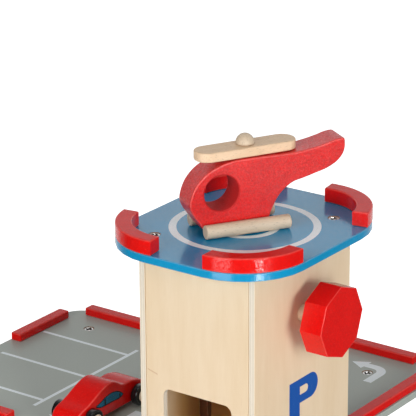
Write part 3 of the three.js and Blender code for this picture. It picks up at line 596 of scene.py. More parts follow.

# %% [markdown]
# ## Coloured lacquer
# The paint is sprayed on in thin coats. It dries with a fine, uneven skin, its colour is a little
# mottled, and tiny specks of dust sit in it. On the rounded edges it is smoother, and they get a
# paler painted highlight, and here and there they are rubbed down to a chalky tone. The gloss comes
# in patches. On most red pieces the faces that look up have lost it, as the photo shows. Printed
# lines lie on top, slightly speckled because the ink doesn't fill every pore.

# %% Coloured lacquer
def lacquer(name, color, pale, rubbed_and_edge_highlight, roughness, ripple, coat, wear, coat_roughness=0.12,
            mottle=0.35, shine=0.3, dulled=0.0, matt_ink=0.0):
    """Colour = the paint, mottled towards pale, made paler on the rims as a painted highlight, rubbed
    where worn, with the printed ink on top.
    Gloss = patches of noise * coat, less dulled where the surface looks up, and less matt_ink under
    ink. ripple is the height of the skin in millimetres."""
    paint = Finish(name)
    at = paint.attribute("board", "Vector")
    grain = paint.noise(at, 0.9, (0.16, 1.0, 1.0), 4, 0.65)
    clouds = paint.noise(at, 0.045, EVEN, 3, 0.55)
    peel = paint.noise(at, 0.6, EVEN, 3, 0.6)
    specks = paint.noise(at, 1.7, EVEN, 1, 0.3).ramp(0.70, 0.76)
    rim = paint.attribute("rim")
    worn = (rim * paint.noise(at, 0.33, (0.5, 1, 1), 3, 0.7)).ramp(0.44, 0.62)
    spots = (clouds * 0.35 + grain * 0.13 + peel * 0.72).ramp(0.42, 0.78)
    tone = paint.mix(spots * mottle, color, pale)
    tone = paint.mix(specks * 0.25, tone, rubbed_and_edge_highlight)
    # Painted highlight: the rounded edges are made paler.
    tone = paint.mix(rim * 0.3, tone, rubbed_and_edge_highlight)
    tone = paint.mix(worn * wear, tone, rubbed_and_edge_highlight)
    tone = printed(paint, tone, specks * 0.45 + grain.ramp(0.66, 0.8) * 0.2)
    height = grain * 0.25 + peel * 0.6 + specks * 0.3
    cover = paint.attribute("ink", "Alpha") * matt_ink
    rough = (grain * 0.06 + clouds * 0.10 + (roughness - 0.10) + worn * 0.1 - rim * 0.12
             + cover * 0.5)
    facing_up = paint.parts(paint.node("ShaderNodeNewGeometry", {}, {}, "Normal"))[2]
    patches = paint.noise(at, 0.8, EVEN, 2, 0.6).ramp(0.4, 0.62)
    gloss = patches * (1 - facing_up.ramp(0.5, 0.9) * dulled) * (1 - cover) * coat
    return paint.surface(tone, rough, height, ripple * mm, Coat_Weight=gloss,
                         Coat_Roughness=coat_roughness, Specular_IOR_Level=shine)


grey_lacquer = lacquer("grey lacquer", (0.40, 0.44, 0.40), (0.43, 0.47, 0.43),
                       (0.53, 0.56, 0.52), roughness=0.42, ripple=0.02, coat=0.1, wear=0.3)
black_lacquer = lacquer("black lacquer", (0.007, 0.008, 0.009), (0.012, 0.013, 0.014),
                        (0.06, 0.06, 0.06), roughness=0.2, ripple=0.03, coat=0.3, wear=0.2,
                        shine=0.5)
blue_lacquer = lacquer("blue lacquer", (0.002, 0.27, 0.52), (0.01, 0.33, 0.56),
                       (0.30, 0.52, 0.62), roughness=0.19, ripple=0.06, coat=0.5,
                       coat_roughness=0.08, wear=0.3, mottle=0.2, shine=0.35)
print("a lacquer:", len(grey_lacquer.node_tree.nodes), "nodes")

# %% [markdown]
# ## Two reds
# Most of the red is smooth and glossy. The helicopter's red is sprayed more coarsely: it is more
# mottled, its sheen is softer and wider, and the wall of its window is inked a deeper, matt red as
# painted shade.

# %% Red lacquer
# rubbed is the tone of dust specks and wear, and also of the painted highlight on the rims.
red_tones = {"color": (0.79, 0.006, 0.004), "pale": (0.50, 0.004, 0.004),
             "rubbed_and_edge_highlight": (0.92, 0.20, 0.17), "wear": 0.4}
red_lacquer = lacquer("red lacquer", roughness=0.18, ripple=0.3, mottle=0.35, coat=0.8,
                      coat_roughness=0.1, dulled=1.0, shine=0.1, **red_tones)
mottled_red = lacquer("mottled red lacquer", roughness=0.40, ripple=0.4, mottle=0.75, coat=0.6,
                      coat_roughness=0.28, shine=0.5, matt_ink=1.0, **red_tones)
print("made:", red_lacquer.name, "and", mottled_red.name)

# %% [markdown]
# ## Steel screws and cotton cord
# The screws are zinc plated: bright, with turning marks and dull spots, and a cross so deep that
# hardly any light comes back from it, which is painted near-black as shade. The cord is braided
# cotton. Its strands are real bumps in its surface, and the finish adds the fuzz and makes the cord
# greyer between them. On both, the rim value marks the place: the inside of the cross, and the tops
# of the strands.

# %% Steel and cotton
def zinc():
    """Metal whose roughness is striped by rings about the screw's axis, with dull spots, and with a
    near-black painted shade in the cross.
    """
    bright, dull, pit_shade_black = (0.80, 0.80, 0.79), (0.56, 0.55, 0.53), (0.035, 0.03, 0.028)
    steel = Finish("zinc plated steel")
    at = steel.attribute("board", "Vector")
    spots = steel.noise(at, 1.2, EVEN, 3, 0.6)
    rings = (steel.parts(at)[1] * 9.0).wave() * 0.5 + 0.5
    tone = steel.mix(spots.ramp(0.35, 0.75), bright, dull)
    # Painted shade: the cross is made near-black where rim marks it.
    tone = steel.mix(steel.attribute("rim"), tone, pit_shade_black)
    return steel.surface(tone, rings * 0.08 + spots * 0.2 + 0.16, rings * 0.5 + spots * 0.5,
                         0.01 * mm, Metallic=1.0)


def cotton():
    """Colour = off-white on the strands and greyer between them, with fine fuzz."""
    between, on_top, fuzz_grey = (0.47, 0.42, 0.33), (0.83, 0.80, 0.72), (0.62, 0.57, 0.47)
    cloth = Finish("braided cotton")
    fuzz = cloth.noise(cloth.attribute("board", "Vector"), 6.0, EVEN, 3, 0.7)
    tone = cloth.mix(cloth.attribute("rim"), between, on_top)
    tone = cloth.mix(fuzz * 0.3, tone, fuzz_grey)
    return cloth.surface(tone, fuzz * 0.1 + 0.82, fuzz, 0.04 * mm, Sheen_Weight=0.35,
                         Sheen_Roughness=0.5)


bright_steel, cotton_braid = zinc(), cotton()
finishes = (red_lacquer, mottled_red, blue_lacquer, grey_lacquer, black_lacquer, plywood,
            pale_beech, warm_beech, beech_in_painted_shade, bright_steel, cotton_braid)
print("finishes:", ", ".join(finish.name for finish in finishes))

# %% [markdown]
# ## The base and the tower
# The base is one thick board with round corners. The tower is a box of four plywood panels: the
# front and back ones stand between the sides, which is why the photo shows a striped edge on both
# corners of the front. Each piece takes its place from the construction, so only its drawing is
# given here. The blue letter on the right panel is printed, and marks the parking like a street sign
# does. Inside, the panels get a brown painted shade for the dim light in the tower. On the left one
# the painted shade fades out towards the front, where light falls in through the gate.

# %% Reading places from the construction
def corners(node):
    """Lowest and highest corner of a construction piece, in millimetres."""
    return [np.array(c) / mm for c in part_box(node)]


def plank(node, finish, across="z", radius=0.6, corner=0.0, grain="u", holes=(), prints=(),
          **inks):
    """A rectangular board that fills a piece's box, standing across one axis."""
    low, high = corners(node)
    x, y, z = 0, 1, 2
    u, v, place = {"z": (x, y, lying(low[z])), "x": (y, z, facing_x(low[x])),
                   "y": (x, z, facing_y(high[y]))}[across]
    shape = rectangle(low[u], low[v], high[u], high[v], corner)
    thick = (high - low)["xyz".index(across)]
    return board(node, shape, thick, place, finish, radius, holes, prints, grain=grain, **inks)


plank("base_board", grey_lacquer, corner=22, radius=1.0)
base_low, base_high = corners("base_board")
print("base board:", (base_high - base_low).round(1), "mm")

# %% Gate panels
GROUND, DECK = base_high[2], corners("deck_board")[1][2]
GATE_HALF, GATE_HIGH, GATE_CORNER, PANEL_EDGE = 29.6, 59.0, 6.0, 0.25
# A brown painted shade for the dim inside of the tower, laid as ink on the panels' inner faces.
BROWN_PAINTED_SHADE = (0.88, 0.50, 0.16, 0.9)
flaw = np.array([(-43.8, 241.4), (-42.2, 239.9), (-34.2, 237.8), (-34.6, 239.0)])
flaw_ink = (0.55, 0.31, 0.15, 0.5)

for node in ("tower_front_panel", "tower_back_panel"):
    low, high = corners(node)
    head = GROUND + GATE_HIGH
    shape = outline([(low[0], low[2]), (-GATE_HALF, low[2]), (-GATE_HALF, head, GATE_CORNER),
                     (GATE_HALF, head, GATE_CORNER), (GATE_HALF, low[2]), (high[0], low[2]),
                     (high[0], high[2]), (low[0], high[2])])
    gate = rectangle(-GATE_HALF, DECK, GATE_HALF, DECK + GATE_HIGH, GATE_CORNER)
    front = node == "tower_front_panel"
    # The inner face gets the brown painted shade.
    board(node, shape, high[1] - low[1], facing_y(high[1]), plywood, PANEL_EDGE, [gate],
          [(flaw, flaw_ink)] if front else (), grain="v",
          **{"under_ink" if front else "face_ink": BROWN_PAINTED_SHADE})
print("each gate is", 2 * GATE_HALF, "mm wide and", GATE_HIGH, "mm high")

# %% Side panels with the letter and the painted shade inside
SHAFT_LEVEL, SHAFT_HOLE = 285.6, 6.55
LETTER_BLUE = (0.0, 0.085, 0.40, 1)
stem_left, stem_right, letter_top, letter_foot = -16.2, -2.8, 235.5, 196.5
bowl_y, bowl_z, bowl_radius, counter_radius, counter_y = 11.1, 226.1, 9.4, 3.1, 4.5
letter = np.concatenate([
    [(stem_left, letter_foot), (stem_right, letter_foot), (stem_right, bowl_z - bowl_radius)],
    arc(bowl_y, bowl_z, bowl_radius, -90, 90, 16), [(stem_left, letter_top)]])
counter = np.concatenate([[(stem_right, bowl_z - counter_radius)],
                          arc(counter_y, bowl_z, counter_radius, -90, 90, 12),
                          [(stem_right, bowl_z + counter_radius)]])
bearing = circle(0, SHAFT_LEVEL, SHAFT_HOLE)

# Painted shade: none at the front where light falls in, then strip by strip more towards the back.
unshaded_from, unshaded_to, full_shade_at, strip, shade_fade_run = -46, -38, -14, 2, 27
fade_low, fade_high = GROUND + 1, 265
shade_fade_strips = [(rectangle(unshaded_from, fade_low, unshaded_to, fade_high), NO_INK)]
for y in np.arange(unshaded_to, full_shade_at, strip):
    share = (y - unshaded_to + strip) / shade_fade_run
    shade_fade_strips.append((rectangle(y, fade_low, y + strip, fade_high), (*BROWN_PAINTED_SHADE[:3], share)))
side_panel = {"across": "x", "radius": PANEL_EDGE, "grain": "v", "holes": [bearing]}
# The left panel's inner face: brown painted shade that fades out towards the front.
plank("tower_left_panel", plywood, prints=shade_fade_strips, face_ink=BROWN_PAINTED_SHADE, **side_panel)
# The right panel's inner face, its underside here, gets the brown painted shade.
plank("tower_right_panel", plywood, prints=[(letter, LETTER_BLUE), (counter, NO_INK)],
      under_ink=BROWN_PAINTED_SHADE, **side_panel)
for side in ("left", "right"):
    plank(f"top_batten_{side}", warm_beech, "y", grain="w")
print("tower:", len(pieces), "pieces so far")

# %% [markdown]
# ## The helicopter pad
# A blue board with a printed landing ring and a smaller ring inside it. Its four corners are quarter
# circles, and on each one sits a red bumper, a quarter of a ring. They were glued on by hand, and
# three of them are turned by three to ten degrees. The screws sit in countersunk holes whose cone
# was cut after painting, so a thin ring of bare wood shows round each head, dark brown with painted
# shade.

# %% Countersunk holes
HEAD_DEPTH, CONE_RADIUS, BOARD_THICK = 0.35, 4.4, 6


def countersunk(screw_box):
    """A hole under a screw whose wall widens upwards: straight, then a cone, ending in a wide mouth.
    The outline is moved by the hole's radius at each height less the outline's own, and the wall
    shows bare wood, darkened by painted shade."""
    x, y = (screw_box[0] + screw_box[1])[:2] / 2
    top, seat = BOARD_THICK, BOARD_THICK - HEAD_DEPTH
    height = np.array([0, 0, top - 4, seat - 0.4, seat, top - 0.1, top, top])
    radius = np.array([2.2, 1.9, 1.9, 3.75, 3.95, 4.35, 4.45, 4.7])
    wall = radius - CONE_RADIUS, height, np.zeros(len(radius))
    # The wall is bare wood darkened by painted shade.
    return circle(x, y, CONE_RADIUS, 32), wall, BARE_WOOD_IN_SHADE


def holes_under(screws):
    """Countersunk holes for all screws whose name starts like this."""
    return [countersunk(corners(node)) for node in frame["nodes"] if node.startswith(screws)]


print("holes in the pad:", len(holes_under("pad_screw")))

# %% The pad and its bumpers
TOP_BLUE = (0.0, 0.265, 0.52, 1)
rings = [(circle(0, 0, radius, steps), ink) for radius, steps, ink in (
    (54.2, 96, WHITE_INK), (48.6, 96, TOP_BLUE), (25.2, 64, WHITE_INK), (20.0, 64, TOP_BLUE))]
plank("helipad_board", blue_lacquer, radius=0.8, corner=50, holes=holes_under("pad_screw"),
      prints=rings, face_ink=TOP_BLUE)

pad_top = corners("helipad_board")[1][2]
corner_x, corner_y, bumper_out, bumper_in, bumper_high, half_turn = 24.5, 37, 50, 38, 11, 44.25
for name, x, y, middle in (("back_right", corner_x, corner_y, 54.5),
                           ("back_left", -corner_x, corner_y, 131.5),
                           ("front_left", -corner_x, -corner_y, 232.3),
                           ("front_right", corner_x, -corner_y, 315)):
    start, end = middle - half_turn, middle + half_turn
    quarter = np.concatenate([arc(x, y, bumper_out, start, end, 18),
                              arc(x, y, bumper_in, end, start, 18)])
    board(f"pad_bumper_{name}", quarter, bumper_high, lying(pad_top), red_lacquer, 1.0)
print("pad and bumpers:", len(pieces), "pieces so far")

# %% Screws
def screw(node):
    """One surface from the middle of the head to the tip. Each point is (r cos t, r sin t, h): over
    the head h sinks inside the cross, and along the shank r swells where the thread's spiral
    passes."""
    arm_long, arm_half, pit_radius, cross_deep, cross_slope = 2.75, 1, 2, 1.4, 0.16
    pitch, thread_high, flat_share, thread_top, thread_end = 1.6, 0.55, 0.35, -3, -18.2
    head_rise = 0.3
    low, high = corners(node)
    x, y = (low + high)[:2] / 2
    t = np.arange(64) / 64 * 2 * math.pi
    head_r = np.array([0.12, 0.3, 0.5, 0.7, 0.9, 1.15, 1.4, 1.7, 1.95, 2.15, 2.4, 2.8, 3.2, 3.5])
    head_r = head_r[:, None]
    hx, hy = abs(head_r * np.cos(t)), abs(head_r * np.sin(t))
    # arm is below zero inside either arm of the cross, whose middle is a round pit.
    arm = np.minimum(np.maximum(hx - arm_long, hy - arm_half),
                     np.maximum(hy - arm_long, hx - arm_half))
    cross = -cross_deep * np.clip(0.5 - np.minimum(arm, head_r - pit_radius) / cross_slope, 0, 1)
    under = np.array([(3.66, -0.04), (3.7, -0.16), (3.66, -0.3), (1.5, -2.4)])
    shank = np.stack([np.full(46, 1.3), np.linspace(-2.6, -17.5, 46)], 1)
    tip = np.array([(1.0, -18.6), (0.45, -19.6), (0.12, -20.0)])
    body_r, body_h = np.concatenate([under, shank, tip]).T[..., None]
    spiral = np.clip(np.cos(2 * math.pi * body_h / pitch + t) - flat_share, 0, 1) / (1 - flat_share)
    body_r = body_r + thread_high * spiral * ((body_h < thread_top) & (body_h > thread_end))
    r = np.concatenate([np.broadcast_to(head_r, hx.shape), body_r])
    h = np.concatenate([cross, np.broadcast_to(body_h, body_r.shape)])
    grid = np.stack([x + r * np.cos(t), y + r * np.sin(t), high[2] - HEAD_DEPTH + head_rise + h], 2)
    # sunk marks the cross, where the steel finish paints its shade.
    sunk = np.concatenate([cross / -cross_deep, body_r * 0])
    grain = np.stack([h, r, r * 0], 2)
    return skin(node, grid[::-1], grain[::-1], sunk[::-1], bright_steel, crease=50)


for node in [n for n in frame["nodes"] if "screw" in n]:
    screw(node)
print("screws:", len(pieces), "pieces so far")

# %% [markdown]
# ## The parking deck
# The deck goes round the tower like an L. White lines mark the bays along its left side, and a bent
# arrow shows the way behind the tower. A second arrow, hidden by the car in the photo apart from two
# slivers, is drawn after the first. Lines and arrows are cut into the board's top face as printed
# areas, which keeps their edges crisp from any distance. The red rails are glued on, a finger's
# width short of each corner.

# %% Printed lines and bent arrows
def stroke(left, low, right, high):
    """A white printed bar."""
    return rectangle(left, low, right, high), WHITE_INK


def bent_arrow(foot, ahead, aside, long, wide, half=3.65, head_long=13.1, head_half=7.4):
    """An arrow whose stroke goes long along ahead, turns through a quarter circle, and points wide
    along aside. In its own coordinates the bend is (long - b + R sin a, b - R cos a), with b the
    middle line's radius and R = b + half outside and b - half inside."""
    bend, barb = 9.5, 0.6
    a = np.radians(np.linspace(0, 90, 13))
    outer, inner = (np.stack([long - bend + r * np.sin(a), bend - r * np.cos(a)], 1)
                    for r in (bend + half, bend - half))
    neck = wide - head_long
    head = [(long + half, neck), (long + head_half, neck - barb), (long, wide),
            (long - head_half, neck + barb), (long - half, neck)]
    own = np.concatenate([[(0, half), (0, -half)], outer, head, inner[::-1]])
    return np.array(foot) + own[:, :1] * ahead + own[:, 1:] * aside, WHITE_INK


bay_left, bay_right, row_front, row_end, line = -257, -169, -34.5, 95.5, 3.2
forwards, backs, leftwards = np.array((0, -1)), np.array((0, 1)), np.array((-1, 0))
prints = [stroke(bay_left, y - line / 2, bay_right - line, y + line / 2) for y in (-22.8, 30.5, 83.5)]
prints.append(stroke(bay_right - line, row_front, bay_right, row_end))
prints.append(bent_arrow((12.5, 147), backs, leftwards, 27.7, 30.9))
prints.append(bent_arrow((-97, 2), forwards, leftwards, 43, 54, half=4.5, head_long=17,
                         head_half=9.5))
print("printed on the deck:", len(prints), "areas")

# %% The deck board
deck_low, deck_high = corners("deck_board")
notch_left, notch_back = -49.8, 61.8
step_x, row_back, deck_corner, inner_corner = -108, 141.4, 22, 10
deck_shape = outline([
    (deck_low[0], deck_low[1], deck_corner), (notch_left, deck_low[1]), (notch_left, notch_back),
    (deck_high[0], notch_back), (deck_high[0], deck_high[1], deck_corner),
    (step_x, deck_high[1], deck_corner), (step_x, row_back, inner_corner),
    (deck_low[0], row_back, deck_corner)], 10)
board("deck_board", deck_shape, BOARD_THICK, lying(deck_low[2]), grey_lacquer, 0.7,
      holes_under("deck_screw"), prints)
print("deck board:", (deck_high - deck_low).round(1), "mm")

# %% Rails, cleats and posts
for node in ("rail_left", "rail_row_back", "rail_step", "rail_back", "rail_right", "rail_front"):
    wide, deep, _ = corners(node)[1] - corners(node)[0]
    plank(node, red_lacquer, radius=1.0, corner=1.5, grain="u" if wide > deep else "v")
plank("deck_cleat_left", warm_beech, grain="v")
plank("deck_cleat_back", warm_beech)
post_radius, post_soft = 10, 0.8
for node in [n for n in frame["nodes"] if n.startswith("post")]:
    low, high = corners(node)
    x, y = ((low + high) / 2)[:2]
    profile = rod_profile(high[2] - low[2], post_radius, post_soft)
    turned(node, profile, (x, y, low[2]), (0, 0, 1), pale_beech)
print("deck:", len(pieces), "pieces so far")

# %% [markdown]
# ## The ramp
# The photo ends above it, so the ramp is made after the usual one: a long board with a thin toe, two
# low rails and a wedge block that hooks it under the deck.

# %% Ramp
slope_low, slope_high = corners("ramp_board")
foot_y, top_y, lip = slope_low[1], slope_high[1], 1.5
slope = (slope_high[2] - lip) / (top_y - foot_y)
drop = BOARD_THICK * math.hypot(1, slope)
heel_y = top_y + (drop - slope_high[2]) / slope
ramp_side = outline([(foot_y, 0), (heel_y, 0), (top_y, slope_high[2] - drop),
                     (top_y, slope_high[2], 0.5), (foot_y, lip, 0.45)], 3)
board("ramp_board", ramp_side, slope_high[0] - slope_low[0], facing_x(slope_low[0]), grey_lacquer,
      0.3)
for node in ("ramp_rail_left", "ramp_rail_right"):
    low, high = corners(node)
    rise = (high[1] - low[1]) * slope
    rail_high = high[2] - low[2] - rise
    rail_side = outline([(low[1], low[2]), (high[1], low[2] + rise), (high[1], high[2], 1.5),
                         (low[1], low[2] + rail_high, 1.5)], 4)
    board(node, rail_side, high[0] - low[0], facing_x(low[0]), red_lacquer, 1.0)

glue_gap = 0.3
low, high = corners("ramp_block")
block_front, block_top = (slope_high[2] + (y - top_y) * slope - drop - glue_gap
                          for y in (low[1], top_y))
block_side = outline([(low[1], low[2]), (high[1], low[2]), (high[1], high[2]), (top_y, high[2]),
                      (top_y, block_top), (low[1], block_front)])
board("ramp_block", block_side, high[0] - low[0], facing_x(low[0]), warm_beech, 0.5, grain="w")
print("ramp slopes", round(math.degrees(math.atan(slope)), 1), "degrees")

# %% [markdown]
# ## The winder and its cord
# Behind the red knob a beech shaft runs through both side panels, with a collar inside each one so
# that it can't slip out. A braided cord is wound round its middle and ends under the left collar. A
# braid is two families of strands that cross over each other, so the tube's radius is raised where
# strands of either family lie on top: the product of two waves that turn in opposite directions
# round the cord.

# %% Shaft, knob and collars
shaft_radius, shaft_soft, collar_radius = 6.25, 0.9, 12
low, high = corners("winder_shaft")
turned("winder_shaft", rod_profile(high[0] - low[0], shaft_radius, shaft_soft),
       (low[0], 0, SHAFT_LEVEL), (1, 0, 0), warm_beech)

low, high = corners("winder_knob")
knob_sides, knob_half, knob_corner, knob_turn = 8, 25, 0.8, math.radians(2.6)
knob_radius = knob_half / math.cos(math.pi / knob_sides)
turn = knob_turn + np.arange(knob_sides) * math.pi / (knob_sides / 2)
octagon = np.stack([knob_radius * np.cos(turn), SHAFT_LEVEL + knob_radius * np.sin(turn)], 1)
knob_shape = outline([(*p, knob_corner) for p in octagon], 3)
board("winder_knob", knob_shape, high[0] - low[0], facing_x(low[0]), red_lacquer, 0.55, grain="v")

for node in ("collar_left", "collar_right"):
    low, high = corners(node)
    board(node, circle(0, SHAFT_LEVEL, collar_radius, 48), high[0] - low[0], facing_x(low[0]),
          warm_beech, 0.7, [circle(0, SHAFT_LEVEL, SHAFT_HOLE)])
print("knob:", round(2 * knob_radius, 1), "mm from point to point")

# %% Braided cord along a path
def along_path(points):
    """Points at an even distance along a line through the given points, and how far along each is."""
    step = 0.45
    gaps = np.linalg.norm(np.diff(points, axis=0), axis=1)
    run = np.concatenate([[0], np.cumsum(gaps)])
    even = np.linspace(0, run[-1], max(int(run[-1] / step), 8) + 1)
    return np.stack([np.interp(even, run, points[:, k]) for k in range(3)], 1), even


def braid(node, points, radius):
    """A tube along the points. Its radius is radius - relief * (1 - |cos(p) cos(q)|), where p and q
    are angles that turn opposite ways: a quarter of the strands times the angle round, plus or minus
    a turn for each lay."""
    relief, strands, lay, sides = 0.16, 8, 7.0, 24
    line, run = along_path(np.asarray(points, float))
    ahead = np.gradient(line, axis=0)
    ahead /= np.linalg.norm(ahead, axis=1, keepdims=True)
    # No cord here ever runs along this slanting direction, so it always gives a side.
    side = np.cross(ahead, (0.7, 0.5, 0.5))
    side /= np.linalg.norm(side, axis=1, keepdims=True)
    other = np.cross(ahead, side)
    t = np.arange(sides) / sides * 2 * math.pi
    turn_along = 2 * math.pi * run[:, None] / lay
    strand = abs(np.cos(strands / 4 * t + turn_along) * np.cos(strands / 4 * t - turn_along))
    r = radius - relief * (1 - strand)
    round_one = np.cos(t)[:, None] * side[:, None] + np.sin(t)[:, None] * other[:, None]
    grid = line[:, None] + r[..., None] * round_one
    grain = np.stack([np.broadcast_to(run[:, None], r.shape), r * np.cos(t), r * np.sin(t)], 2)
    print(f"{node}: {run[-1]:.0f} mm of cord")
    return skin(node, grid, grain, strand ** 0.7, cotton_braid, crease=180)


ten_mm = np.array([(0, 0, 0), (0, 0, 10)])
print("ten millimetres of cord have", len(along_path(ten_mm)[0]), "rings")

# %% Cord on the shaft
CORD_Y, CORD_RADIUS, PITCH, TURNS, BEND = 7.65, 1.25, 3.2, 4, 6.0
panel_inside, collar_gap, collar_half, notch_deep, lead_long = 44.5, 1, 3, 3, 2.5
collar_middle = panel_inside - collar_gap - collar_half
drift = PITCH / (2 * math.pi * CORD_Y)
wound, turned_in = TURNS * 2 * math.pi * CORD_Y, math.pi / 2 * BEND
straight = collar_middle - collar_half - wound * drift - BEND + notch_deep
run = np.linspace(0, lead_long + wound + turned_in + straight, 900)
past = np.maximum(run - lead_long, 0)
on_loops = np.minimum(past, wound)
bent = np.clip(past - wound, 0, turned_in) / BEND
around = (on_loops + BEND * np.sin(bent)) / CORD_Y
sideways = on_loops * drift + BEND * (1 - np.cos(bent)) + np.maximum(past - wound - turned_in, 0)
lead = np.minimum(run - lead_long, 0)
winding = np.stack([-sideways, CORD_Y * np.cos(around),
                    SHAFT_LEVEL + CORD_Y * np.sin(around) + lead], 1)
braid("cord_winding", winding, CORD_RADIUS)

# %% [markdown]
# ## The lift cabin
# A floor and a roof of the same shape, notched where the dark guide strips run, and two walls
# between them. The front and the back are open, so that a car can drive through. The cord comes down
# through a hole in the roof and ends in a knot below it. When the cabin rises, the free length of
# cord gets shorter.

# %% Cabin
low, high = corners("cabin_floor")
groove_deep, groove_half = 4.2, 3.0
groove_in = high[0] - groove_deep
groove_low, groove_high = CORD_Y - groove_half, CORD_Y + groove_half


def notched(left, right):
    """A rectangle with a notch for a guide strip in each long side at the cabin's outside."""
    notch = [(right, groove_low), (groove_in, groove_low), (groove_in, groove_high),
             (right, groove_high)]
    far_notch = [(left, groove_high), (-groove_in, groove_high), (-groove_in, groove_low),
                 (left, groove_low)]
    return outline([(left, low[1]), (right, low[1]), *notch, (right, high[1]), (left, high[1]),
                    *(far_notch if left < 0 else [])])


plate_shape = notched(low[0], high[0])
wall_shape = notched(corners("cabin_wall_right")[0][0], high[0])
roof_hole = circle(0, CORD_Y, 1.6, 20)
for node, shape, finish, radius, holes, grain in (
        ("cabin_floor", plate_shape, pale_beech, 0.5, (), "u"),
        ("cabin_roof", plate_shape, plywood, 0.4, [roof_hole], "u"),
        ("cabin_wall_right", wall_shape, plywood, 0.4, (), "w"),
        ("cabin_wall_left", wall_shape * (-1, 1), plywood, 0.4, (), "w")):
    bottom, top = (c[2] for c in corners(node))
    board(node, shape, top - bottom, lying(bottom), finish, radius, holes, grain=grain)
# The guide strips get the near-black brown beech, which is painted shade.
for node in ("guide_strip_left", "guide_strip_right"):
    plank(node, beech_in_painted_shade, "y", radius=0.5, grain="v")
print("cabin:", len(pieces), "pieces so far")

# %% Knot
# An overhand knot's line is (sin t + 2 sin 2t, cos t - 2 cos 2t, -sin 3t), each times a size.
knot_low, knot_high = corners("cord_knot")
ends_apart, knot_size, knot_depth, knot_middle, pulled_radius = 0.35, 0.88, 1.5, 4.0, 1.1
t = np.linspace(ends_apart, 2 * math.pi - ends_apart, 90)
ball = knot_low[2] + knot_middle
overhand = np.stack([(np.sin(t) + 2 * np.sin(2 * t)) * knot_size,
                     CORD_Y + (np.cos(t) - 2 * np.cos(2 * t)) * knot_size,
                     ball - np.sin(3 * t) * knot_depth], 1)
stem = [(0, CORD_Y, knot_high[2]), (0, CORD_Y, knot_high[2] - 4), (0.1, CORD_Y, ball + 3.6)]
tail = [(0.2, CORD_Y - 0.4, ball - 2.2)]
knot_line = np.concatenate([stem, overhand, tail])
for _ in range(12):  # each round mixes half of a point with a quarter of each neighbour
    knot_line[1:-1] = (knot_line[:-2] + 2 * knot_line[1:-1] + knot_line[2:]) / 4
braid("cord_knot", knot_line, pulled_radius)

# %% Free cord
# It stands a tenth of a millimetre to the right, clear of the wound cord when the lift is up.
clear, lift_travel = 0.1, 155.7
drop_low, drop_high = corners("cord_drop")
free_line = [(clear, CORD_Y, drop_low[2]), (clear, CORD_Y, drop_high[2] - clear)]
free_cord = braid("cord_drop", free_line, CORD_RADIUS)
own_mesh(free_cord)

# %% [markdown]
# ## The toy helicopter
# Sawn from a thick beech board and lacquered red: a round nose with a hole for a window, and a tail
# that sweeps up. Two dowels are its skids, and a rotor with round ends turns on a peg with a ball
# head. It stands turned on the pad, and the rotor has spun a few degrees past it. Its outline is a
# smooth curve through measured points, and the same function as for the rails gives it its thickness
# and its softened edges.

# %% A smooth curve through points
def smooth_loop(points, between=4):
    """A closed curve through the points. The way at each point is the mean of its two edges'
    directions, in which the shorter edge counts more. Between two points the curve is the cubic with
    those ways at its ends."""
    after = np.roll(points, -1, axis=0) - points
    long = np.linalg.norm(after, axis=1, keepdims=True)
    unit = after / long
    long_before, unit_before = np.roll(long, 1, axis=0), np.roll(unit, 1, axis=0)
    way = (unit_before * long + unit * long_before) / (long + long_before)
    s = (np.arange(between) / between)[None, :, None]
    start, end = points[:, None], np.roll(points, -1, axis=0)[:, None]
    leave, arrive = (way * long)[:, None], (np.roll(way, -1, axis=0) * long)[:, None]
    curve = (start * (1 + 2 * s) * (1 - s) ** 2 + leave * s * (1 - s) ** 2
             + end * s * s * (3 - 2 * s) + arrive * s * s * (s - 1))
    return curve.reshape(-1, 2)


def heading(angle):
    """The level direction (cos a, sin a, 0)."""
    return np.array((math.cos(angle), math.sin(angle), 0))


triangle = np.array([(0, 0), (4, 0), (0, 3)])
print("a curve through three points has", len(smooth_loop(triangle)), "points")

# %% Helicopter body
heli_turn, tail_reach, heli_top, heli_thick, heli_edge = math.radians(57.3), 72.4, 53.9, 22, 1.1
tail_way = heading(heli_turn)
upwards = np.array((0, 0, 1))
side_way = np.cross(upwards, tail_way)
pad_middle = np.array((0, 0, pad_top))
heli_shares = np.array([
    (0.172, 0.059), (0.2, 0.18), (0.247, 0.32), (0.3, 0.44), (0.376, 0.537), (0.45, 0.597),
    (0.556, 0.631), (0.684, 0.677), (0.815, 0.728), (0.932, 0.82), (0.984, 0.912), (1, 1.04),
    (0.99, 1.108), (0.938, 1.113), (0.81, 1.073), (0.68, 1.036), (0.556, 1.012), (0.45, 1),
    (0.2, 1), (0, 1), (-0.17, 0.994), (-0.316, 0.95), (-0.476, 0.84), (-0.571, 0.7),
    (-0.62, 0.546), (-0.632, 0.447), (-0.611, 0.352), (-0.53, 0.185), (-0.475, 0.085),
    (-0.44, 0.062), (-0.3, 0.059), (-0.1, 0.059), (0.1, 0.059)])
heli_shape = smooth_loop(heli_shares * (tail_reach, heli_top))
# The window's wall is inked a deeper red as painted shade.
window_x, window_z, window_radius, window_shade_ink = -21.9, 31.1, 13, (0.55, 0.0, 0.0, 0.9)
window = (circle(window_x, window_z, window_radius, 56), edge_profile(heli_thick, heli_edge, 4),
          window_shade_ink)
board("helicopter_body", heli_shape, heli_thick,
      (pad_middle + heli_thick / 2 * side_way, tail_way, upwards, -side_way), mottled_red,
      heli_edge, [window], steps=4)
print("helicopter's outline:", len(heli_shape), "points")

# %% Skids, rotor and peg
skid_radius, skid_long, skid_apart, skid_ahead, skid_clear = 5, 64, 30.4, 4.3, 0.3
for node, side in (("helicopter_skid_left", 1), ("helicopter_skid_right", -1)):
    foot = (pad_middle + (skid_radius + skid_clear) * upwards + side * skid_apart / 2 * side_way
            - (skid_ahead + skid_long / 2) * tail_way)
    turned(node, rod_profile(skid_long, skid_radius, 0.7), foot, tail_way, pale_beech)

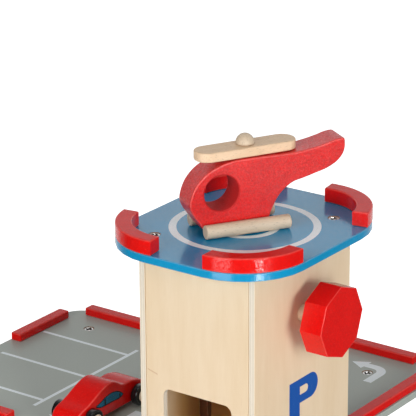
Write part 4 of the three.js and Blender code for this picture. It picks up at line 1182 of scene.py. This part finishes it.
rotor_low, rotor_high = corners("rotor_bar")
half_long, half_wide, end_flat, peg_hole = 77.5 / 2, 19.8 / 2, 0.4, 3.4
rotor_ahead = math.radians(4.2)
rotor_shape = rectangle(-half_long, -half_wide, half_long, half_wide, half_wide - end_flat, 14)
rotor_way = heading(heli_turn + rotor_ahead)
board("rotor_bar", rotor_shape, rotor_high[2] - rotor_low[2],
      ((0, 0, rotor_low[2]), rotor_way, np.cross(upwards, rotor_way), upwards), warm_beech, 1.0,
      [circle(0, 0, peg_hole, 32)])

peg_low, peg_high = corners("rotor_peg")
head_radius, head_cut = 6.7, 0.8
head_middle = peg_high[2] - head_radius - peg_low[2]
under = head_middle - head_cut
a = np.linspace(0, math.pi / 2, 16)
peg_r = np.concatenate([[0, 2.6, 3.0, 3.0, 5.9, 6.4, 6.6], head_radius * np.cos(a)])
peg_h = np.concatenate([[0, 0, 0.4, under, under, under + 0.12, under + 0.4],
                        head_middle + head_radius * np.sin(a)])
turned("rotor_peg", (peg_r, peg_h, peg_r * 0), (0, 0, peg_low[2]), (0, 0, 1), pale_beech)
print("helicopter:", len(pieces), "pieces so far")

# %% [markdown]
# ## The toy car
# A block of beech with a rounded roof, lacquered red. The side windows are printed in blue with a
# black outline and two pillars. The wheels are black with turned rings, and the pale ends of the
# axles are their hubs.

# %% Car body
car_x, car_nose, car_long, car_roof, car_half = -121.1, -60, 91, 28.3, 12
car_shares = np.array([
    (0.018, 0.149), (0.034, 0.145), (0.05, 0.145), (0.95, 0.145), (0.968, 0.145), (0.984, 0.152),
    (0.995, 0.178), (1, 0.247), (0.978, 0.389), (0.923, 0.53), (0.865, 0.633), (0.814, 0.693),
    (0.754, 0.739), (0.686, 0.749), (0.643, 0.749), (0.604, 0.799), (0.566, 0.88), (0.516, 0.965),
    (0.467, 1), (0.412, 0.989), (0.352, 0.933), (0.286, 0.848), (0.22, 0.753), (0.154, 0.671),
    (0.099, 0.622), (0.044, 0.551), (0.013, 0.442), (0.004, 0.283), (0, 0.205), (0.006, 0.165)])
car_shape = smooth_loop(car_shares * (car_long, car_roof) + (car_nose, DECK))
glazing = smooth_loop(np.array([
    (-36.8, 15), (-30.3, 17.4), (-22.6, 19.7), (-14, 19.8), (-6.3, 16.7), (-3.3, 13.6), (-5.5, 12.4),
    (-15.9, 12.1), (-23.7, 12.1), (-31.4, 12.4)]) + (0, DECK), 3)
black_ink, glass_ink = (0.004, 0.005, 0.007, 1), (0.002, 0.14, 0.26, 1)
frame_wide, pillar_half, pillar_foot = 0.85, 0.75, 13
inner = drawn_in(glazing[::-1] if area(glazing) < 0 else glazing, frame_wide)
side_window = [(glazing, black_ink), (inner, glass_ink)]
side_window += [(rectangle(y - pillar_half, DECK + pillar_foot, y + pillar_half, DECK + top),
                 black_ink) for y, top in ((-25.4, 17.6), (-7.4, 16.0))]
board("car_body", car_shape, 2 * car_half, facing_x(car_x - car_half), red_lacquer, 1.1, (),
      side_window, side_window, steps=4)
print("car's outline:", len(car_shape), "points")

# %% Wheels and axles
wheel_in, wheel_level, hub_sides = 12.8, DECK + 8.6, 40
wheel_r = np.array([2.2, 2.2, 2.6, 5.0, 5.3, 5.6, 6.1, 6.35, 6.6, 7.2, 7.75, 8.15, 8.3, 8.3, 8.22,
                    8.3, 8.3, 8.15, 7.75, 6.6, 5, 2.6])
wheel_h = np.array([0.3, 5.0, 5.2, 5.2, 4.7, 5.2, 5.2, 4.7, 5.25, 5.5, 5.45, 5.2, 4.7, 3.2, 2.8,
                    2.4, 0.8, 0.3, 0.05, 0, 0, 0.1])
wheel_profile = wheel_r[::-1], wheel_h[::-1], wheel_r * 0
hub_r = np.array([0, 4.1, 4.6, 4.85, 4.9, 4.85, 2])
hub_h = np.array([0, 0, 0.1, 0.45, 0.9, 1.4, 1.4])
for axle, y in (("car_front", -44), ("car_rear", 12.5)):
    for side, way in (("left", -1), ("right", 1)):
        turned(f"{axle}_wheel_{side}", wheel_profile, (car_x + way * wheel_in, y, wheel_level),
               (way, 0, 0), black_lacquer, closed=True)
    low, high = corners(f"{axle}_axle")
    turned(f"{axle}_axle", both_ends(hub_r, hub_h, hub_r * 0, high[0] - low[0]),
           (low[0], y, wheel_level), (1, 0, 0), pale_beech, sides=hub_sides)
left_showing = sorted(set(frame["nodes"]) - set(pieces))
print("car:", len(pieces), "pieces in all; construction pieces left as they are:", left_showing)

# %% [markdown]
# ## Floor
# The photo's ground is pure white. So the floor glows for the camera, and for all other light it is
# plain matt paper that throws a soft light up at the toy. Only what the lacquer mirrors meets a
# smoother sheet, which shows it the lamps and the room instead of white paper.

# %% Floor
reach = 12.0
floor_mesh = bpy.data.meshes.new("floor")
floor_mesh.from_pydata([(-reach, -reach, 0), (reach, -reach, 0), (reach, reach, 0),
                        (-reach, reach, 0)], [], [(0, 1, 2, 3)])
floor = bpy.data.objects.new("floor", floor_mesh)
bpy.context.scene.collection.objects.link(floor)
paper = Finish("white paper")
matt = paper.node("ShaderNodeBsdfDiffuse", {}, {"Color": (0.9, 0.9, 0.9, 1)})
sheet = paper.node("ShaderNodeBsdfGlossy", {}, {"Color": (0.85, 0.85, 0.85, 1), "Roughness": 0.12})
glow = paper.node("ShaderNodeEmission", {}, {"Strength": 0.85})
bright = paper.node("ShaderNodeAddShader", {}, {0: matt, 1: glow})
seen_directly = paper.node("ShaderNodeLightPath", {}, {}, "Is Camera Ray")
mirrored = paper.node("ShaderNodeLightPath", {}, {}, "Is Glossy Ray")
indirect = paper.node("ShaderNodeMixShader", {}, {0: mirrored, 1: matt, 2: sheet})
shown = paper.node("ShaderNodeMixShader", {}, {0: seen_directly, 1: indirect, 2: bright})
paper.node("ShaderNodeOutputMaterial", {}, {"Surface": shown})
floor_mesh.materials.append(paper.material)
print("floor:", 2 * reach, "m wide")

# %% [markdown]
# ## Light
# Four soft lamps: a big one in front, one on the right, a lower one beside it that reaches into the
# front gate, and a weak one above. The room gives an even, dim light from all sides. What the
# lacquer mirrors of it is white at the back left and dark everywhere else.

# %% Lamps
def lamp(name, place, aim, size, power):
    """A square lamp of a size and power that looks at a point."""
    light = bpy.data.objects.new(name, bpy.data.lights.new(name, "AREA"))
    light.data.size, light.data.energy = size, power
    way = (Vector(aim) - Vector(place)).to_track_quat("-Z", "Y")
    light.matrix_world = Matrix.Translation(place) @ way.to_matrix().to_4x4()
    bpy.context.scene.collection.objects.link(light)


toy_middle, tower_gate = (0, 0, 0.25), (0, 0, 0.22)
lamp("front lamp", (0.05, -2.2, 0.85), toy_middle, 1.2, 23)
lamp("right lamp", (2.1, -0.75, 0.9), toy_middle, 0.6, 15)
lamp("low lamp", (1.85, -1.1, 0.6), tower_gate, 0.45, 12)
lamp("top lamp", (-0.2, -0.3, 2.4), toy_middle, 1.6, 7)

# %% Room
back_left, white_strength, dark_strength, even_strength = (-0.58, 0.81, 0.0), 1.0, 0.05, 0.23
dark_until, white_from = 0.35, 0.8
room = bpy.data.worlds.new("room")
room.use_nodes = True
nodes, links = room.node_tree.nodes, room.node_tree.links
white, dark, even = nodes["Background"], *(nodes.new("ShaderNodeBackground") for _ in range(2))
for background, strength in ((white, white_strength), (dark, dark_strength),
                             (even, even_strength)):
    background.inputs["Color"].default_value = (1, 1, 1, 1)
    background.inputs["Strength"].default_value = strength
place, turned_to, share, seen, choice, kind = (nodes.new(f"ShaderNode{k}") for k in (
    "TexCoord", "VectorMath", "MapRange", "MixShader", "MixShader", "LightPath"))
turned_to.operation, turned_to.inputs[1].default_value = "DOT_PRODUCT", back_left
share.inputs["From Min"].default_value = dark_until
share.inputs["From Max"].default_value = white_from
for outlet, inlet in (
        (place.outputs["Generated"], turned_to.inputs[0]),
        (turned_to.outputs["Value"], share.inputs["Value"]),
        (share.outputs["Result"], seen.inputs[0]),
        (dark.outputs[0], seen.inputs[1]), (white.outputs[0], seen.inputs[2]),
        (kind.outputs["Is Diffuse Ray"], choice.inputs[0]),
        (seen.outputs[0], choice.inputs[1]), (even.outputs[0], choice.inputs[2]),
        (choice.outputs[0], nodes["World Output"].inputs["Surface"])):
    links.new(outlet, inlet)
bpy.context.scene.world = room
bpy.context.scene.view_settings.view_transform = "Standard"
print("the room has", len(nodes), "nodes")
